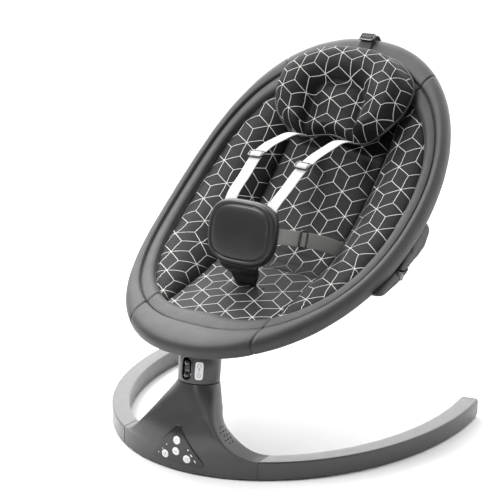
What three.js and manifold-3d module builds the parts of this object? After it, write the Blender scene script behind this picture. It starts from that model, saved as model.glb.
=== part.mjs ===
// Electric baby swing: a C-shaped floor base, a post with a swinging collar, and a reclining seat.
// Millimetres, +Z up, front of the swing towards -Y, the child's left towards +X.
// The origin lies on the floor, below the middle of the overall box.
import * as THREE from 'three';
import { mergeVertices } from 'three/addons/utils/BufferGeometryUtils.js';
import Module from 'manifold-3d';

// ---------- driving dimensions ----------
const ring = { centreY: 87, outerX: 304.5, outerY: 384.6, width: 30, bottom: 2, top: 32.3, tip: 13 };
const pedestal = { half: 132, neckHalf: 34, neckZ: 134.3, wall: 3, flare: 2.6, rake: 32.6, bottom: 2, bulge: 42 };
const pivot = { y: -231, z: 134.3, leanDeg: 7, shaftRadius: 8 };
const collar = { radius: 34, topRadius: 34.4, wall: 3.6, height: 45 };
const seat = {
  length: 727, halfWidth: 240, power: 2.2, egg: 0.057, footY: -297.7, footZ: 213.7,
  footDeg: 17.75, headDeg: 47.46, bendStart: 0.038, bendEnd: 0.906,
};
const rim = { side: 40, foot: 60, head: 50, tubeInset: 19, tubeDrop: 15, tubeRadius: 11, tubeWall: 1.6 };
const hinge = { along: 327, drop: 15, pin: 5, clearance: 0.3, x: 222, cheek: 6, tongue: 13.2 };
const pad = { centre: 372, halfLength: 262, halfWidth: 192 };
const gap = 0.3;
const middleY = 5.9;
const panel = { low: 14.5, high: 75, half: 47, thick: 1.2, keyRadius: 6.5, keyHole: 6.8, lift: 0.5 };
const rad = THREE.MathUtils.degToRad;

// ---------- materials ----------
const paint = (color, roughness, metalness = 0) =>
  new THREE.MeshStandardMaterial({ color, roughness, metalness });
const shellGrey = paint(0x55575a, 0.45);
const darkPlastic = paint(0x1c1d1f, 0.4);
const glossBlack = paint(0x0c0c0d, 0.15);
const keyWhite = paint(0xf0f0f0, 0.4);
const steel = paint(0x9a9c9e, 0.35, 1);
const copper = paint(0xa8622f, 0.4, 1);
const circuit = paint(0x1f5a38, 0.6);
const rubber = paint(0x202020, 0.9);
const rimCloth = paint(0x3f4042, 0.85);
const printCloth = paint(0x1b1b1d, 0.85);
const slingCloth = paint(0x242526, 0.9);
const leatherette = paint(0x2a2c2e, 0.5);
const webbing = paint(0xdcdcda, 0.8);
const greyWebbing = paint(0x8e8e8c, 0.8);

const swing = new THREE.Group();

function add(name, geometry, material, parent = swing) {
  const mesh = new THREE.Mesh(geometry, material);
  mesh.name = name;
  parent.add(mesh);
  return mesh;
}

// ---------- closed bodies ----------
function signedVolume(points, index) {
  let total = 0;
  for (let i = 0; i < index.length; i += 3) {
    const [a, b, c] = [points[index[i]], points[index[i + 1]], points[index[i + 2]]];
    total += a.dot(new THREE.Vector3().crossVectors(b, c));
  }
  return total;
}

function geometryFrom(points, index) {
  if (signedVolume(points, index) < 0) {
    for (let i = 0; i < index.length; i += 3) [index[i], index[i + 1]] = [index[i + 1], index[i]];
  }
  const geometry = new THREE.BufferGeometry();
  geometry.setAttribute('position', new THREE.Float32BufferAttribute(points.flatMap((p) => p.toArray()), 3));
  geometry.setIndex(index);
  return geometry;
}

// A wall between two grids of points: rows run along it, columns across; closed joins last column to first.
function wall(outer, inner, closed = false) {
  const rows = outer.length;
  const cols = outer[0].length;
  const points = [...outer.flat(), ...inner.flat()];
  const back = rows * cols;
  const index = [];
  const quad = (a, b, c, d) => index.push(a, b, c, a, c, d);
  const lastCol = closed ? cols : cols - 1;
  for (let i = 0; i < rows - 1; i += 1) {
    for (let j = 0; j < lastCol; j += 1) {
      const k = (j + 1) % cols;
      quad(i * cols + j, i * cols + k, (i + 1) * cols + k, (i + 1) * cols + j);
      quad(back + i * cols + j, back + (i + 1) * cols + j, back + (i + 1) * cols + k, back + i * cols + k);
    }
    if (!closed) {
      quad(i * cols, (i + 1) * cols, back + (i + 1) * cols, back + i * cols);
      const e = cols - 1;
      quad(i * cols + e, back + i * cols + e, back + (i + 1) * cols + e, (i + 1) * cols + e);
    }
  }
  for (let j = 0; j < lastCol; j += 1) {
    const k = (j + 1) % cols;
    const r = (rows - 1) * cols;
    quad(j, back + j, back + k, k);
    quad(r + j, r + k, back + r + k, back + r + j);
  }
  return geometryFrom(points, index);
}

// A solid through a row of closed sections, with a flat fan at each end.
function loft(sections) {
  const n = sections[0].length;
  const points = sections.flat();
  const index = [];
  for (let i = 0; i < sections.length - 1; i += 1) {
    for (let j = 0; j < n; j += 1) {
      const k = (j + 1) % n;
      index.push(i * n + j, i * n + k, (i + 1) * n + k, i * n + j, (i + 1) * n + k, (i + 1) * n + j);
    }
  }
  const middle = (section) => section.reduce((sum, p) => sum.add(p), new THREE.Vector3()).divideScalar(n);
  const first = points.push(middle(sections[0])) - 1;
  const last = points.push(middle(sections[sections.length - 1])) - 1;
  const top = (sections.length - 1) * n;
  for (let j = 0; j < n; j += 1) {
    const k = (j + 1) % n;
    index.push(first, k, j, last, top + j, top + k);
  }
  return geometryFrom(points, index);
}

// ---------- joins and cuts ----------
const wasm = await Module();
wasm.setup();

function solid(source) {
  const plain = source.clone();
  plain.deleteAttribute('normal');
  plain.deleteAttribute('uv');
  const merged = mergeVertices(plain, 1e-4);
  const vertProperties = new Float32Array(merged.attributes.position.array);
  const triVerts = new Uint32Array(merged.index.array);
  return new wasm.Manifold(new wasm.Mesh({ numProp: 3, vertProperties, triVerts }));
}

function fromSolid(manifold) {
  const mesh = manifold.getMesh();
  const geometry = new THREE.BufferGeometry();
  geometry.setAttribute('position', new THREE.Float32BufferAttribute(mesh.vertProperties, 3));
  geometry.setIndex(Array.from(mesh.triVerts));
  return geometry;
}

function cut(source, ...tools) {
  return fromSolid(tools.reduce((rest, tool) => rest.subtract(solid(tool)), solid(source)));
}

function join(...parts) {
  return fromSolid(parts.slice(1).reduce((sum, part) => sum.add(solid(part)), solid(parts[0])));
}

// ---------- simple shapes ----------
function rod(radius, length, axis, sides = 12) {
  const geometry = new THREE.CylinderGeometry(radius, radius, length, sides);
  if (axis === 'x') geometry.rotateZ(Math.PI / 2);
  if (axis === 'z') geometry.rotateX(Math.PI / 2);
  return geometry;
}

function washer(outer, inner, low, high, sides = 16) {
  const profile = [[inner, low], [outer, low], [outer, high], [inner, high], [inner, low]];
  const geometry = new THREE.LatheGeometry(profile.map(([r, z]) => new THREE.Vector2(r, z)), sides);
  return geometry.rotateX(Math.PI / 2);
}

function box(x, y, z, sizeX, sizeY, sizeZ) {
  return new THREE.BoxGeometry(sizeX, sizeY, sizeZ).translate(x, y, z);
}

function tube(points, radius, sides, steps) {
  const circle = new THREE.Shape().absarc(0, 0, radius, 0, 2 * Math.PI);
  const extrudePath = new THREE.CatmullRomCurve3(points);
  return new THREE.ExtrudeGeometry(circle, { extrudePath, steps, curveSegments: sides / 2, bevelEnabled: false });
}

// ---------- base ----------
const bandY = (x, across) => {
  const y = (inset) => ring.centreY
    - (ring.outerY - inset) * Math.sqrt(1 - (x / (ring.outerX - inset)) ** 2);
  return THREE.MathUtils.lerp(y(0), y(ring.width), (across + 1) / 2);
};

// Size and place of the pedestal's level section at height z.
function level(z) {
  const u = THREE.MathUtils.clamp((z - ring.top) / (pedestal.neckZ - ring.top), 0, 1);
  const halfX = pedestal.neckHalf + (pedestal.half - pedestal.neckHalf) * (1 - u) ** pedestal.flare;
  const bulge = pedestal.bulge * 1.5 * u ** 0.42 * (1 - u);
  const halfY = (ring.width + bulge) / 2 + (pedestal.neckHalf - ring.width / 2) * u ** 0.8;
  const frontY = ring.centreY - ring.outerY + pedestal.rake * u ** 1.25;
  return { halfX, halfY, frontY, blend: Math.min(1, u * 1.6), power: 2 + 10 * (1 - u) ** 2 };
}

const rounded = (value, power) => Math.sign(value) * Math.abs(value) ** (2 / power);

// A point on the front (face -1) or rear (face 1) half of the section; q runs from -1 to 1 across it.
function pedestalPoint(z, q, face, wallThickness) {
  const s = level(z);
  const share = Math.sin((q * Math.PI) / 2);
  const depth = Math.max((1 - Math.abs(share) ** s.power) ** (1 / s.power), 0.015);
  const x = (s.halfX - wallThickness) * share;
  const across = face * (1 - wallThickness / s.halfY) * depth;
  const straight = s.frontY + s.halfY * (1 + across);
  const y = THREE.MathUtils.lerp(bandY(x, across), straight, s.blend);
  const lean = Math.tan(rad(pivot.leanDeg)) * THREE.MathUtils.smoothstep(z, 85, pedestal.neckZ);
  return new THREE.Vector3(x, y, z - (y - pivot.y) * lean);
}

function pedestalFront(x, z, lift) {
  const s = level(z);
  const across = -((1 - Math.abs(x / s.halfX) ** s.power) ** (1 / s.power));
  const straight = s.frontY + s.halfY * (1 + across);
  return new THREE.Vector3(x, THREE.MathUtils.lerp(bandY(x, across), straight, s.blend) - lift, z);
}

const shellLevels = [pedestal.bottom, ring.top, 35, 40, 48, 58, 72, 90, 112, 133.8];

function shell(face) {
  const columns = 14;
  const rows = (thickness) => shellLevels.map((z) => Array.from({ length: columns + 1 }, (_, j) =>
    pedestalPoint(z, (2 * j) / columns - 1, face, thickness)));
  return wall(rows(0), rows(pedestal.wall));
}

const keys = [
  { name: 'power_key', x: 3.5, z: 53 }, { name: 'level_key', x: 2.5, z: 34.8 },
  { name: 'music_key', x: -19, z: 25.5 }, { name: 'timer_key', x: 22.5, z: 25.5 },
];
const keyHoles = keys.map(({ x, z }) => rod(panel.keyHole, 30, 'y').translate(x, -290, z));

function controlPanel() {
  const rows = (lift) => Array.from({ length: 9 }, (_, i) => {
    const v = i / 8;
    const z = THREE.MathUtils.lerp(panel.low, panel.high, v);
    const roundEnd = Math.min(1, Math.sqrt(1 - Math.max(0, 0.16 - v) ** 2 / 0.16 ** 2) + 0.55);
    const half = (panel.half * (1 - v) ** 0.95 + 4) * roundEnd;
    return Array.from({ length: 7 }, (__, j) => pedestalFront(half * (j / 3 - 1), z, lift));
  });
  return cut(wall(rows(panel.lift + panel.thick), rows(panel.lift)), ...keyHoles);
}

function armSections(side, fromDeg, toDeg, steps) {
  const mid = (ring.bottom + ring.top) / 2;
  const halfH = (ring.top - ring.bottom) / 2;
  return Array.from({ length: steps + 1 }, (_, i) => {
    const t = rad(THREE.MathUtils.lerp(fromDeg, toDeg, i / steps));
    return Array.from({ length: 12 }, (__, j) => {
      const a = (2 * Math.PI * (j + 0.5)) / 12;
      const inset = (ring.width / 2) * (1 + rounded(Math.cos(a), 8));
      const x = side * (ring.outerX - inset) * Math.cos(t);
      const y = ring.centreY + (ring.outerY - inset) * Math.sin(t);
      return new THREE.Vector3(x, y, mid + halfH * rounded(Math.sin(a), 8));
    });
  });
}

function buildArm(side, word) {
  const arm = loft(armSections(side, -68, ring.tip - 0.6, 14));
  add(`base_arm_${word}`, cut(arm, box(0, -200, 20, 2 * (pedestal.half + gap), 300, 80)), shellGrey);
  add(`arm_cap_${word}`, loft(armSections(side, ring.tip - 0.5, ring.tip, 1)), darkPlastic);
  const t = rad(ring.tip - 7);
  const x = side * (ring.outerX - ring.width / 2) * Math.cos(t);
  const y = ring.centreY + (ring.outerY - ring.width / 2) * Math.sin(t);
  add(`tip_foot_${word}`, rod(9, 1.7, 'z').translate(x, y, 0.85), rubber);
}

// A flat bowed strip inside the pedestal's footprint.
function footprint(half, share, low, high) {
  const rows = (z) => Array.from({ length: 13 }, (_, i) => {
    const x = half * (i / 6 - 1);
    return [new THREE.Vector3(x, bandY(x, -share), z), new THREE.Vector3(x, bandY(x, share), z)];
  });
  return wall(rows(high), rows(low));
}

function buildBase() {
  add('pedestal_front_shell', cut(shell(-1), ...keyHoles), shellGrey);
  const jackHole = rod(4.2, 12, 'y').translate(0, -268, 16);
  add('pedestal_rear_shell', cut(shell(1), jackHole), shellGrey);
  add('base_plate', footprint(pedestal.half - pedestal.wall - 8, 0.72, 2.5, 5), darkPlastic);
  add('pedestal_foot', footprint(108, 0.5, 0, 2.2), rubber);
  add('control_panel', controlPanel(), paint(0x2b2c2e, 0.3));
  add('control_board', box(-66, bandY(-66, 0), 8.4, 38, 9, 1.6), circuit);
  add('speaker', rod(9.5, 8, 'z').translate(88, bandY(88, 0), 22), darkPlastic);
  add('dc_inlet', cut(box(0, -276.6, 16, 11, 11, 10), rod(2.8, 8, 'y').translate(0, -274, 16)), glossBlack);
  buildArm(1, 'left');
  buildArm(-1, 'right');
}

function buildKeys() {
  for (const { name, x, z } of keys) {
    const front = pedestalFront(x, z, 0).y - 2.4;
    add(name, rod(panel.keyRadius, 9, 'y').translate(x, front + 4.5, z), keyWhite);
  }
}

// ---------- post, drive and collar, in the frame of the leaning pivot axis ----------
const post = new THREE.Group();
post.position.set(0, pivot.y, pivot.z);
post.rotation.x = -rad(pivot.leanDeg);
swing.add(post);

function buildDrive() {
  add('pivot_housing', washer(17.5, 14.3, -36, -5.3), darkPlastic, post);
  add('upper_bearing', washer(14, pivot.shaftRadius + 0.3, -16, -6), steel, post);
  add('lower_bearing', washer(14, pivot.shaftRadius + 0.3, -36, -26), steel, post);
  add('swing_shaft', rod(pivot.shaftRadius, 82, 'z', 24).translate(0, 0, 3.5), steel, post);
  const magnet = rod(7, 7, 'z').translate(0, -20, -44.8);
  add('magnet_lever', join(box(0, -10, -40.3, 16, 36, 3.4), magnet), darkPlastic, post);
  add('drive_coil', washer(13, 4, -61, -50.6).translate(0, -20, 0), copper, post);
}

function collarShell() {
  const { radius, topRadius, wall: thick, height } = collar;
  const profile = [[radius - thick, 0.6], [radius - 0.8, 0.6], [radius, 1.6], [topRadius, height],
    [topRadius - thick, height], [radius - thick, 0.6]];
  const body = new THREE.LatheGeometry(profile.map(([r, z]) => new THREE.Vector2(r, z)), 28);
  body.rotateX(Math.PI / 2);
  return cut(body, stadium(19, 38, 20).translate(-2, -35, 24));
}

// An upright slot shape lying in the XZ plane, pushed along Y by depth.
function stadium(width, height, depth) {
  const r = width / 2;
  const straight = height / 2 - r;
  const shape = new THREE.Shape();
  shape.absarc(0, straight, r, 0, Math.PI);
  shape.absarc(0, -straight, r, Math.PI, 2 * Math.PI);
  shape.closePath();
  const geometry = new THREE.ExtrudeGeometry(shape, { depth, curveSegments: 6, bevelEnabled: false });
  return geometry.rotateX(Math.PI / 2).translate(0, depth / 2, 0);
}

function buildCollar() {
  add('collar_shell', collarShell(), shellGrey, post);
  add('swing_head', new THREE.CylinderGeometry(31, 33, 3.8, 28).rotateX(Math.PI / 2)
    .translate(0, 0, collar.height + gap + 1.9), darkPlastic, post);
}

function buildSlider() {
  const dome = (z) => new THREE.SphereGeometry(5, 8, 5).scale(1, 0.62, 1).translate(-2, -32.3, z);
  const slide = join(stadium(10, 29, 1.4).translate(-2, -31.6, 23), dome(33), dome(13));
  add('lock_slider', slide, glossBlack, post);
}

// ---------- seat surface: arc length along it, x across it, height above the rim plane ----------
const profileSteps = 160;
const sideProfile = (() => {
  const ds = seat.length / profileSteps;
  const angleAt = (s) => {
    const t = THREE.MathUtils.smoothstep(s / seat.length, seat.bendStart, seat.bendEnd);
    return rad(THREE.MathUtils.lerp(seat.footDeg, seat.headDeg, t));
  };
  const table = [{ y: seat.footY, z: seat.footZ, angle: angleAt(0) }];
  for (let i = 1; i <= profileSteps; i += 1) {
    const angle = angleAt(i * ds);
    const mean = (angle + table[i - 1].angle) / 2;
    table.push({ y: table[i - 1].y + ds * Math.cos(mean), z: table[i - 1].z + ds * Math.sin(mean), angle });
  }
  return table;
})();

function seatPoint(s, x, height) {
  const place = (s / seat.length) * profileSteps;
  const i = THREE.MathUtils.clamp(Math.floor(place), 0, profileSteps - 1);
  const [a, b] = [sideProfile[i], sideProfile[i + 1]];
  const t = place - i;
  const lerp = (p, q) => p + (q - p) * t;
  const angle = lerp(a.angle, b.angle);
  const y = lerp(a.y, b.y) - Math.sin(angle) * height;
  return new THREE.Vector3(x, y, lerp(a.z, b.z) + Math.cos(angle) * height);
}

// Rim outline seen square on: t = 0 at the head, 90 at the child's left side, 180 at the foot.
function outline(t) {
  const u = rounded(Math.cos(t), seat.power);
  const v = rounded(Math.sin(t), seat.power) * (1 + seat.egg * u);
  return { s: (0.5 + 0.5 * u) * seat.length, x: seat.halfWidth * v, u };
}

function rimPoint(t, inset, height) {
  const step = 1e-3;
  const [a, b, c] = [outline(t - step), outline(t), outline(t + step)];
  const along = new THREE.Vector2(c.s - a.s, c.x - a.x).normalize();
  return seatPoint(b.s - along.y * inset, b.x + along.x * inset, height);
}

const bandWidth = (t) => {
  const { u } = outline(t);
  return rim.side + rim.foot * Math.max(-u, 0) ** 4 + rim.head * Math.max(u, 0) ** 4;
};

// Rim cover: soft roll round the frame tube; share of the band width, height above the rim plane.
const rollSection = [
  [0, -11], [0.04, -5], [0.13, -1], [0.3, 2], [0.5, 1], [0.75, 0], [0.94, -4], [1, -11],
  [0.93, -19], [0.72, -26], [0.42, -29.6], [0.1, -23],
];

function rimCover(fromDeg, toDeg, steps) {
  const at = (i) => rad(THREE.MathUtils.lerp(fromDeg, toDeg, i / steps));
  const rows = Array.from({ length: steps + 1 }, (_, i) => at(i));
  const outer = rows.map((t) => rollSection.map(([share, height]) =>
    rimPoint(t, share * bandWidth(t), height)));
  const inner = rows.map((t) => rollSection.map((_, j) => {
    const a = Math.PI - (2 * Math.PI * (j - 0.5)) / rollSection.length;
    const r = rim.tubeRadius + 1.4;
    return rimPoint(t, rim.tubeInset + r * Math.cos(a), r * Math.sin(a) - rim.tubeDrop);
  }));
  return wall(outer, inner, true);
}

function frameTube(fromDeg, toDeg, steps) {
  const rows = (r) => Array.from({ length: steps + 1 }, (_, i) => {
    const t = rad(THREE.MathUtils.lerp(fromDeg, toDeg, i / steps));
    return Array.from({ length: 8 }, (__, j) => {
      const a = (Math.PI * j) / 4;
      return rimPoint(t, rim.tubeInset + r * Math.cos(a), r * Math.sin(a) - rim.tubeDrop);
    });
  });
  return wall(rows(rim.tubeRadius), rows(rim.tubeRadius - rim.tubeWall), true);
}

// Cloth surfaces: a sling hung from the rim and the padding lying in it.
const padMiddle = (s) =>
  -14 - 27 * Math.sin(Math.PI * THREE.MathUtils.clamp((s - 100) / 560, 0.001, 0.999)) ** 0.6;
const slingTop = (s, share) => {
  const depth = (-padMiddle(s) - 15) * THREE.MathUtils.smoothstep(s, 100, 260);
  return -31.5 - Math.max(0, depth) * (1 - THREE.MathUtils.smoothstep(Math.abs(share), 0.55, 1.05));
};
const padTop = (s, share) => {
  const bolster = THREE.MathUtils.clamp((Math.abs(share) - 0.5) / 0.5, 0, 1);
  return THREE.MathUtils.lerp(padMiddle(s), -10, Math.sin((bolster * Math.PI) / 2));
};
const padHalf = (s) => {
  const u = THREE.MathUtils.clamp((s - pad.centre) / pad.halfLength, -0.999, 0.999);
  return pad.halfWidth * (1 - Math.abs(u) ** seat.power) ** (1 / seat.power) * (1 + seat.egg * u);
};
const slingHalf = (s) => {
  const u = THREE.MathUtils.clamp((2 * s) / seat.length - 1, -0.999, 0.999);
  return (seat.halfWidth - 33) * (1 - Math.abs(u) ** seat.power) ** (1 / seat.power) * (1 + seat.egg * u);
};

function cloth(stations, half, top, bottom, columns) {
  const grid = (height) => stations.map((s) => Array.from({ length: columns + 1 }, (_, j) => {
    const share = (2 * j) / columns - 1;
    return seatPoint(s, share * half(s), height(s, share));
  }));
  return wall(grid(top), grid(bottom));
}

const slingShare = (s, share) => (share * slingHalf(s)) / padHalf(s);
const slingSurface = (s, share) => slingTop(s, THREE.MathUtils.clamp(slingShare(s, share), -1.05, 1.05));

function buildSling(name, stations) {
  add(name, cloth(stations, slingHalf, slingSurface, (s, q) => slingSurface(s, q) - 4, 14), slingCloth);
}

function buildPad(name, stations) {
  add(name, cloth(stations, padHalf, padTop, (s, q) => slingTop(s, q) + 3, 12), printCloth);
}

// ---------- hinges between the seat carrier and the backrest ----------
const hingeCentre = seatPoint(hinge.along, 0, -hinge.drop);
const hingeAngle = sideProfile[Math.round((hinge.along / seat.length) * profileSteps)].angle;

// A plate in the hinge's own plane: along the seat and square to it, then pushed across by depth.
function hingePlate(points, roundAt, depth, x) {
  const shape = new THREE.Shape();
  shape.moveTo(...points[0]);
  points.slice(1).forEach((point) => shape.lineTo(...point));
  if (roundAt) shape.absarc(0, 0, roundAt.radius, rad(roundAt.from), rad(roundAt.to), roundAt.clockwise);
  shape.closePath();
  const geometry = new THREE.ExtrudeGeometry(shape, { depth, curveSegments: 6, bevelEnabled: false });
  geometry.applyMatrix4(new THREE.Matrix4().makeBasis(
    new THREE.Vector3(0, Math.cos(hingeAngle), Math.sin(hingeAngle)),
    new THREE.Vector3(0, -Math.sin(hingeAngle), Math.cos(hingeAngle)),
    new THREE.Vector3(1, 0, 0),
  ));
  return geometry.translate(x - depth / 2, hingeCentre.y, hingeCentre.z);
}

const pinHole = (x) => rod(hinge.pin + hinge.clearance, 40, 'x').translate(x, hingeCentre.y, hingeCentre.z);

function buildHinge(side, word) {
  const x = side * hinge.x;
  const halfWidth = 13;
  const cheekX = x + side * (hinge.tongue / 2 + gap + hinge.cheek / 2);
  const innerX = x - side * (hinge.tongue / 2 + gap + hinge.cheek / 2);
  const root = [[-22, 10], [-42, 8], [-42, -17], [-80, -17], [-84, -20], [-74, -25], [-45, -31],
    [-6, -35], [-5, -22], [-22, -18]];
  const cheek = [[-24, -13], [-24, 13], [0, 15]];
  const round = { radius: 15, from: 90, to: -90, clockwise: true };
  const socket = join(
    hingePlate(root, null, 2 * halfWidth, x),
    hingePlate(cheek, round, hinge.cheek, cheekX),
    hingePlate(cheek, round, hinge.cheek, innerX),
  );
  const outerFace = x + side * halfWidth;
  const buttonAt = new THREE.Vector3(0, 0, 0).copy(hingeLocal(-30, -27));
  const buttonHole = rod(6.3, 20, 'x').translate(outerFace, buttonAt.y, buttonAt.z);
  add(`hinge_socket_${word}`, cut(socket, pinHole(x), buttonHole), darkPlastic);
  add(`release_button_${word}`, rod(6, 8, 'x').translate(outerFace - side * 1.5, buttonAt.y, buttonAt.z),
    glossBlack);
  const tongue = [[0, -14], [24, -14], [24, 10], [0, 14]];
  const back = { radius: 14, from: 90, to: 270, clockwise: false };
  const lobe = [[22, -15], [10, -20], [9, -36], [40, -38], [64, -35], [75, -28], [77, -20], [70, -15],
    [41, -17], [41, 8], [22, 10]];
  const knuckle = join(
    hingePlate(tongue, back, hinge.tongue, x),
    hingePlate(lobe, null, 2 * halfWidth, x),
  );
  add(`hinge_knuckle_${word}`, cut(knuckle, pinHole(x)), darkPlastic);
  add(`hinge_pin_${word}`, rod(hinge.pin, 27, 'x').translate(x, hingeCentre.y, hingeCentre.z), steel);
}

function hingeLocal(along, height) {
  return new THREE.Vector3(0,
    hingeCentre.y + Math.cos(hingeAngle) * along - Math.sin(hingeAngle) * height,
    hingeCentre.z + Math.sin(hingeAngle) * along + Math.cos(hingeAngle) * height);
}

// ---------- seat carrier ----------
function spineArm() {
  const line = [[-222, 190.6], [-185, 191.5], [-149, 202], [-84, 222], [-30, 243], [5, 258]];
  const centre = new THREE.CatmullRomCurve3(line.map(([y, z]) => new THREE.Vector3(0, y, z)));
  const sections = Array.from({ length: 15 }, (_, i) => {
    const p = centre.getPoint(i / 14);
    const along = centre.getTangent(i / 14);
    const up = new THREE.Vector3(0, -along.z, along.y).multiplyScalar(4.5);
    const half = 24 - 6 * (i / 14);
    return [[-1, -1], [1, -1], [1, 1], [-1, 1]].map(([side, above]) =>
      new THREE.Vector3(side * half, p.y, p.z).addScaledVector(up, above));
  });
  return loft(sections);
}

function crossTube() {
  const half = [[204, -35], [192, -40], [145, -61], [75, -70], [0, -72]];
  const left = half.map(([x, height]) => seatPoint(302, x, height));
  const right = half.slice(0, -1).reverse().map(([x, height]) => seatPoint(302, -x, height));
  return tube([...left, ...right], 9, 8, 18);
}

const ribbonFrom = (centre, width, thickness, acrossOf) => {
  const grid = (offset) => centre.map((p, i) => {
    const before = centre[Math.max(0, i - 1)];
    const after = centre[Math.min(centre.length - 1, i + 1)];
    const along = new THREE.Vector3().subVectors(after, before).normalize();
    const across = acrossOf(i).clone().normalize();
    const normal = new THREE.Vector3().crossVectors(across, along).normalize();
    return [-1, 1].map((side) => p.clone().addScaledVector(across, (side * width) / 2)
      .addScaledVector(normal, offset));
  });
  return wall(grid(thickness / 2), grid(-thickness / 2));
};
const xAxis = new THREE.Vector3(1, 0, 0);

function curvePoints(stations, steps) {
  return new THREE.CatmullRomCurve3(stations.map(([s, x, h]) => seatPoint(s, x, h))).getPoints(steps);
}

const crotch = { centre: new THREE.Vector3(0, -105, 348), half: 65, high: 54, thick: 22, tiltDeg: -14 };

function buildCrotchPad() {
  const outlineAt = (grow, y) => Array.from({ length: 28 }, (_, j) => {
    const a = (2 * Math.PI * j) / 28;
    const x = (crotch.half - grow) * rounded(Math.cos(a), 3.2);
    return new THREE.Vector3(x, y, (crotch.high - grow) * rounded(Math.sin(a), 3.2));
  });
  const h = crotch.thick / 2;
  const cushion = loft([outlineAt(8, -h), outlineAt(2, -h * 0.75), outlineAt(0, 0), outlineAt(2, h * 0.75),
    outlineAt(8, h)]);
  const place = new THREE.Group();
  place.position.copy(crotch.centre);
  place.rotation.x = rad(crotch.tiltDeg);
  swing.add(place);
  add('crotch_pad', cushion, leatherette, place);
  const buckle = cut(box(0, h + 8, -4, 52, 13, 48), rod(10.3, 10, 'y').translate(0, h + 12, -4));
  add('harness_buckle', buckle, darkPlastic, place);
  add('buckle_button', rod(10, 6, 'y').translate(0, h + 13.2, -4), glossBlack, place);
}

function buildHarness() {
  const flap = curvePoints([[226, 0, -24], [222, 0, -12], [221, 0, 4], [222, 0, 16]], 6);
  add('crotch_strap', ribbonFrom(flap, 36, 4, () => xAxis), leatherette);
  for (const [side, word, lift] of [[1, 'left', 0.87], [-1, 'right', 1]]) {
    const shoulder = curvePoints([[512, 46, 12], [468, 46, 55], [425, 45, 82], [385, 43, 95], [330, 40, 97],
      [290, 38, 97]].map(([s, x, h]) => [s, side * x, h * lift]), 14);
    add(`shoulder_strap_${word}`, ribbonFrom(shoulder, 25, 1.8, () => xAxis), webbing);
    const gripLine = curvePoints([[402, 44, 94], [386, 43, 98], [366, 42, 99.5]]
      .map(([s, x, h]) => [s, side * x, h * lift + 3]), 4);
    add(`shoulder_adjuster_${word}`, ribbonFrom(gripLine, 31, 4, () => xAxis), darkPlastic);
    const waist = [[66, -96, 350], [80, -62, 340], [94, -22, 326], [103, -2, 319]]
      .map(([x, y, z]) => new THREE.Vector3(side * x, y, z));
    const upright = new THREE.Vector3(0, 0.3, 1);
    add(`waist_strap_${word}`, ribbonFrom(waist, 25, 1.8, () => upright), greyWebbing);
    const outward = new THREE.Vector3(side * 3.6, -1.6, 0.5);
    const grip = [waist[1], waist[1].clone().lerp(waist[2], 0.5)].map((p) => p.clone().add(outward));
    add(`waist_adjuster_${word}`, ribbonFrom(grip, 31, 3, () => upright), darkPlastic);
  }
}

function buildCarrier() {
  add('front_tube', frameTube(101.6, 258.4, 16), steel);
  add('front_rim_cover', rimCover(102.5, 257.5, 24), rimCloth);
  add('spine_arm', spineArm(), darkPlastic);
  add('cross_tube', crossTube(), steel);
  buildSling('front_sling', [86, 110, 140, 175, 210, 245, 281]);
  buildPad('seat_pad', [124, 140, 165, 195, 225, 255, 285, 316]);
  buildHarness();
  buildCrotchPad();
  buildHinge(1, 'left');
  buildHinge(-1, 'right');
}

// ---------- backrest ----------
function headPillow() {
  const sections = [];
  for (let i = 0; i <= 12; i += 1) {
    const q = i / 6 - 1;
    const bulge = Math.sqrt(1 - (0.96 * q) ** 2);
    sections.push(Array.from({ length: 14 }, (_, j) => {
      const a = (2 * Math.PI * j) / 14;
      const s = 609 + 82 * bulge ** 0.55 * rounded(Math.cos(a), 2.4) - 26 * q * q;
      const base = 6 - 16 * bulge * (1 - THREE.MathUtils.smoothstep(s, 535, 600));
      return seatPoint(s, 130 * q, base + 20 * bulge ** 0.5 * (1 + rounded(Math.sin(a), 2.2)));
    }));
  }
  return loft(sections);
}

function buildBackrest() {
  add('rear_tube', frameTube(-88.9, 88.9, 20), steel);
  add('rear_rim_cover', rimCover(-88.2, 88.2, 28), rimCloth);
  buildSling('rear_sling', [372, 405, 445, 485, 525, 565, 605, 640]);
  buildPad('back_pad', [338, 360, 395, 435, 475, 515, 555, 590, 618]);
  add('head_pillow', headPillow(), printCloth);
  const over = curvePoints([[694, 0, 5], [712, 0, 6], [724, 0, 4.5], [730.5, 0, -3], [731.5, 0, -14]], 8);
  add('head_strap', ribbonFrom(over, 25, 1.8, () => xAxis), rimCloth);
  add('head_strap_slider', box(0, 0, 0, 31, 12, 4).applyMatrix4(new THREE.Matrix4().makeRotationX(rad(47)))
    .translate(0, seatPoint(716, 0, 11).y, seatPoint(716, 0, 11).z), darkPlastic);
}

buildBase();
buildKeys();
buildDrive();
buildCollar();
buildSlider();
buildCarrier();
buildBackrest();

// Moves the middle of the overall box to Y = 0.
swing.position.y = -middleY;
swing.updateMatrixWorld(true);

export default swing;
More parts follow.
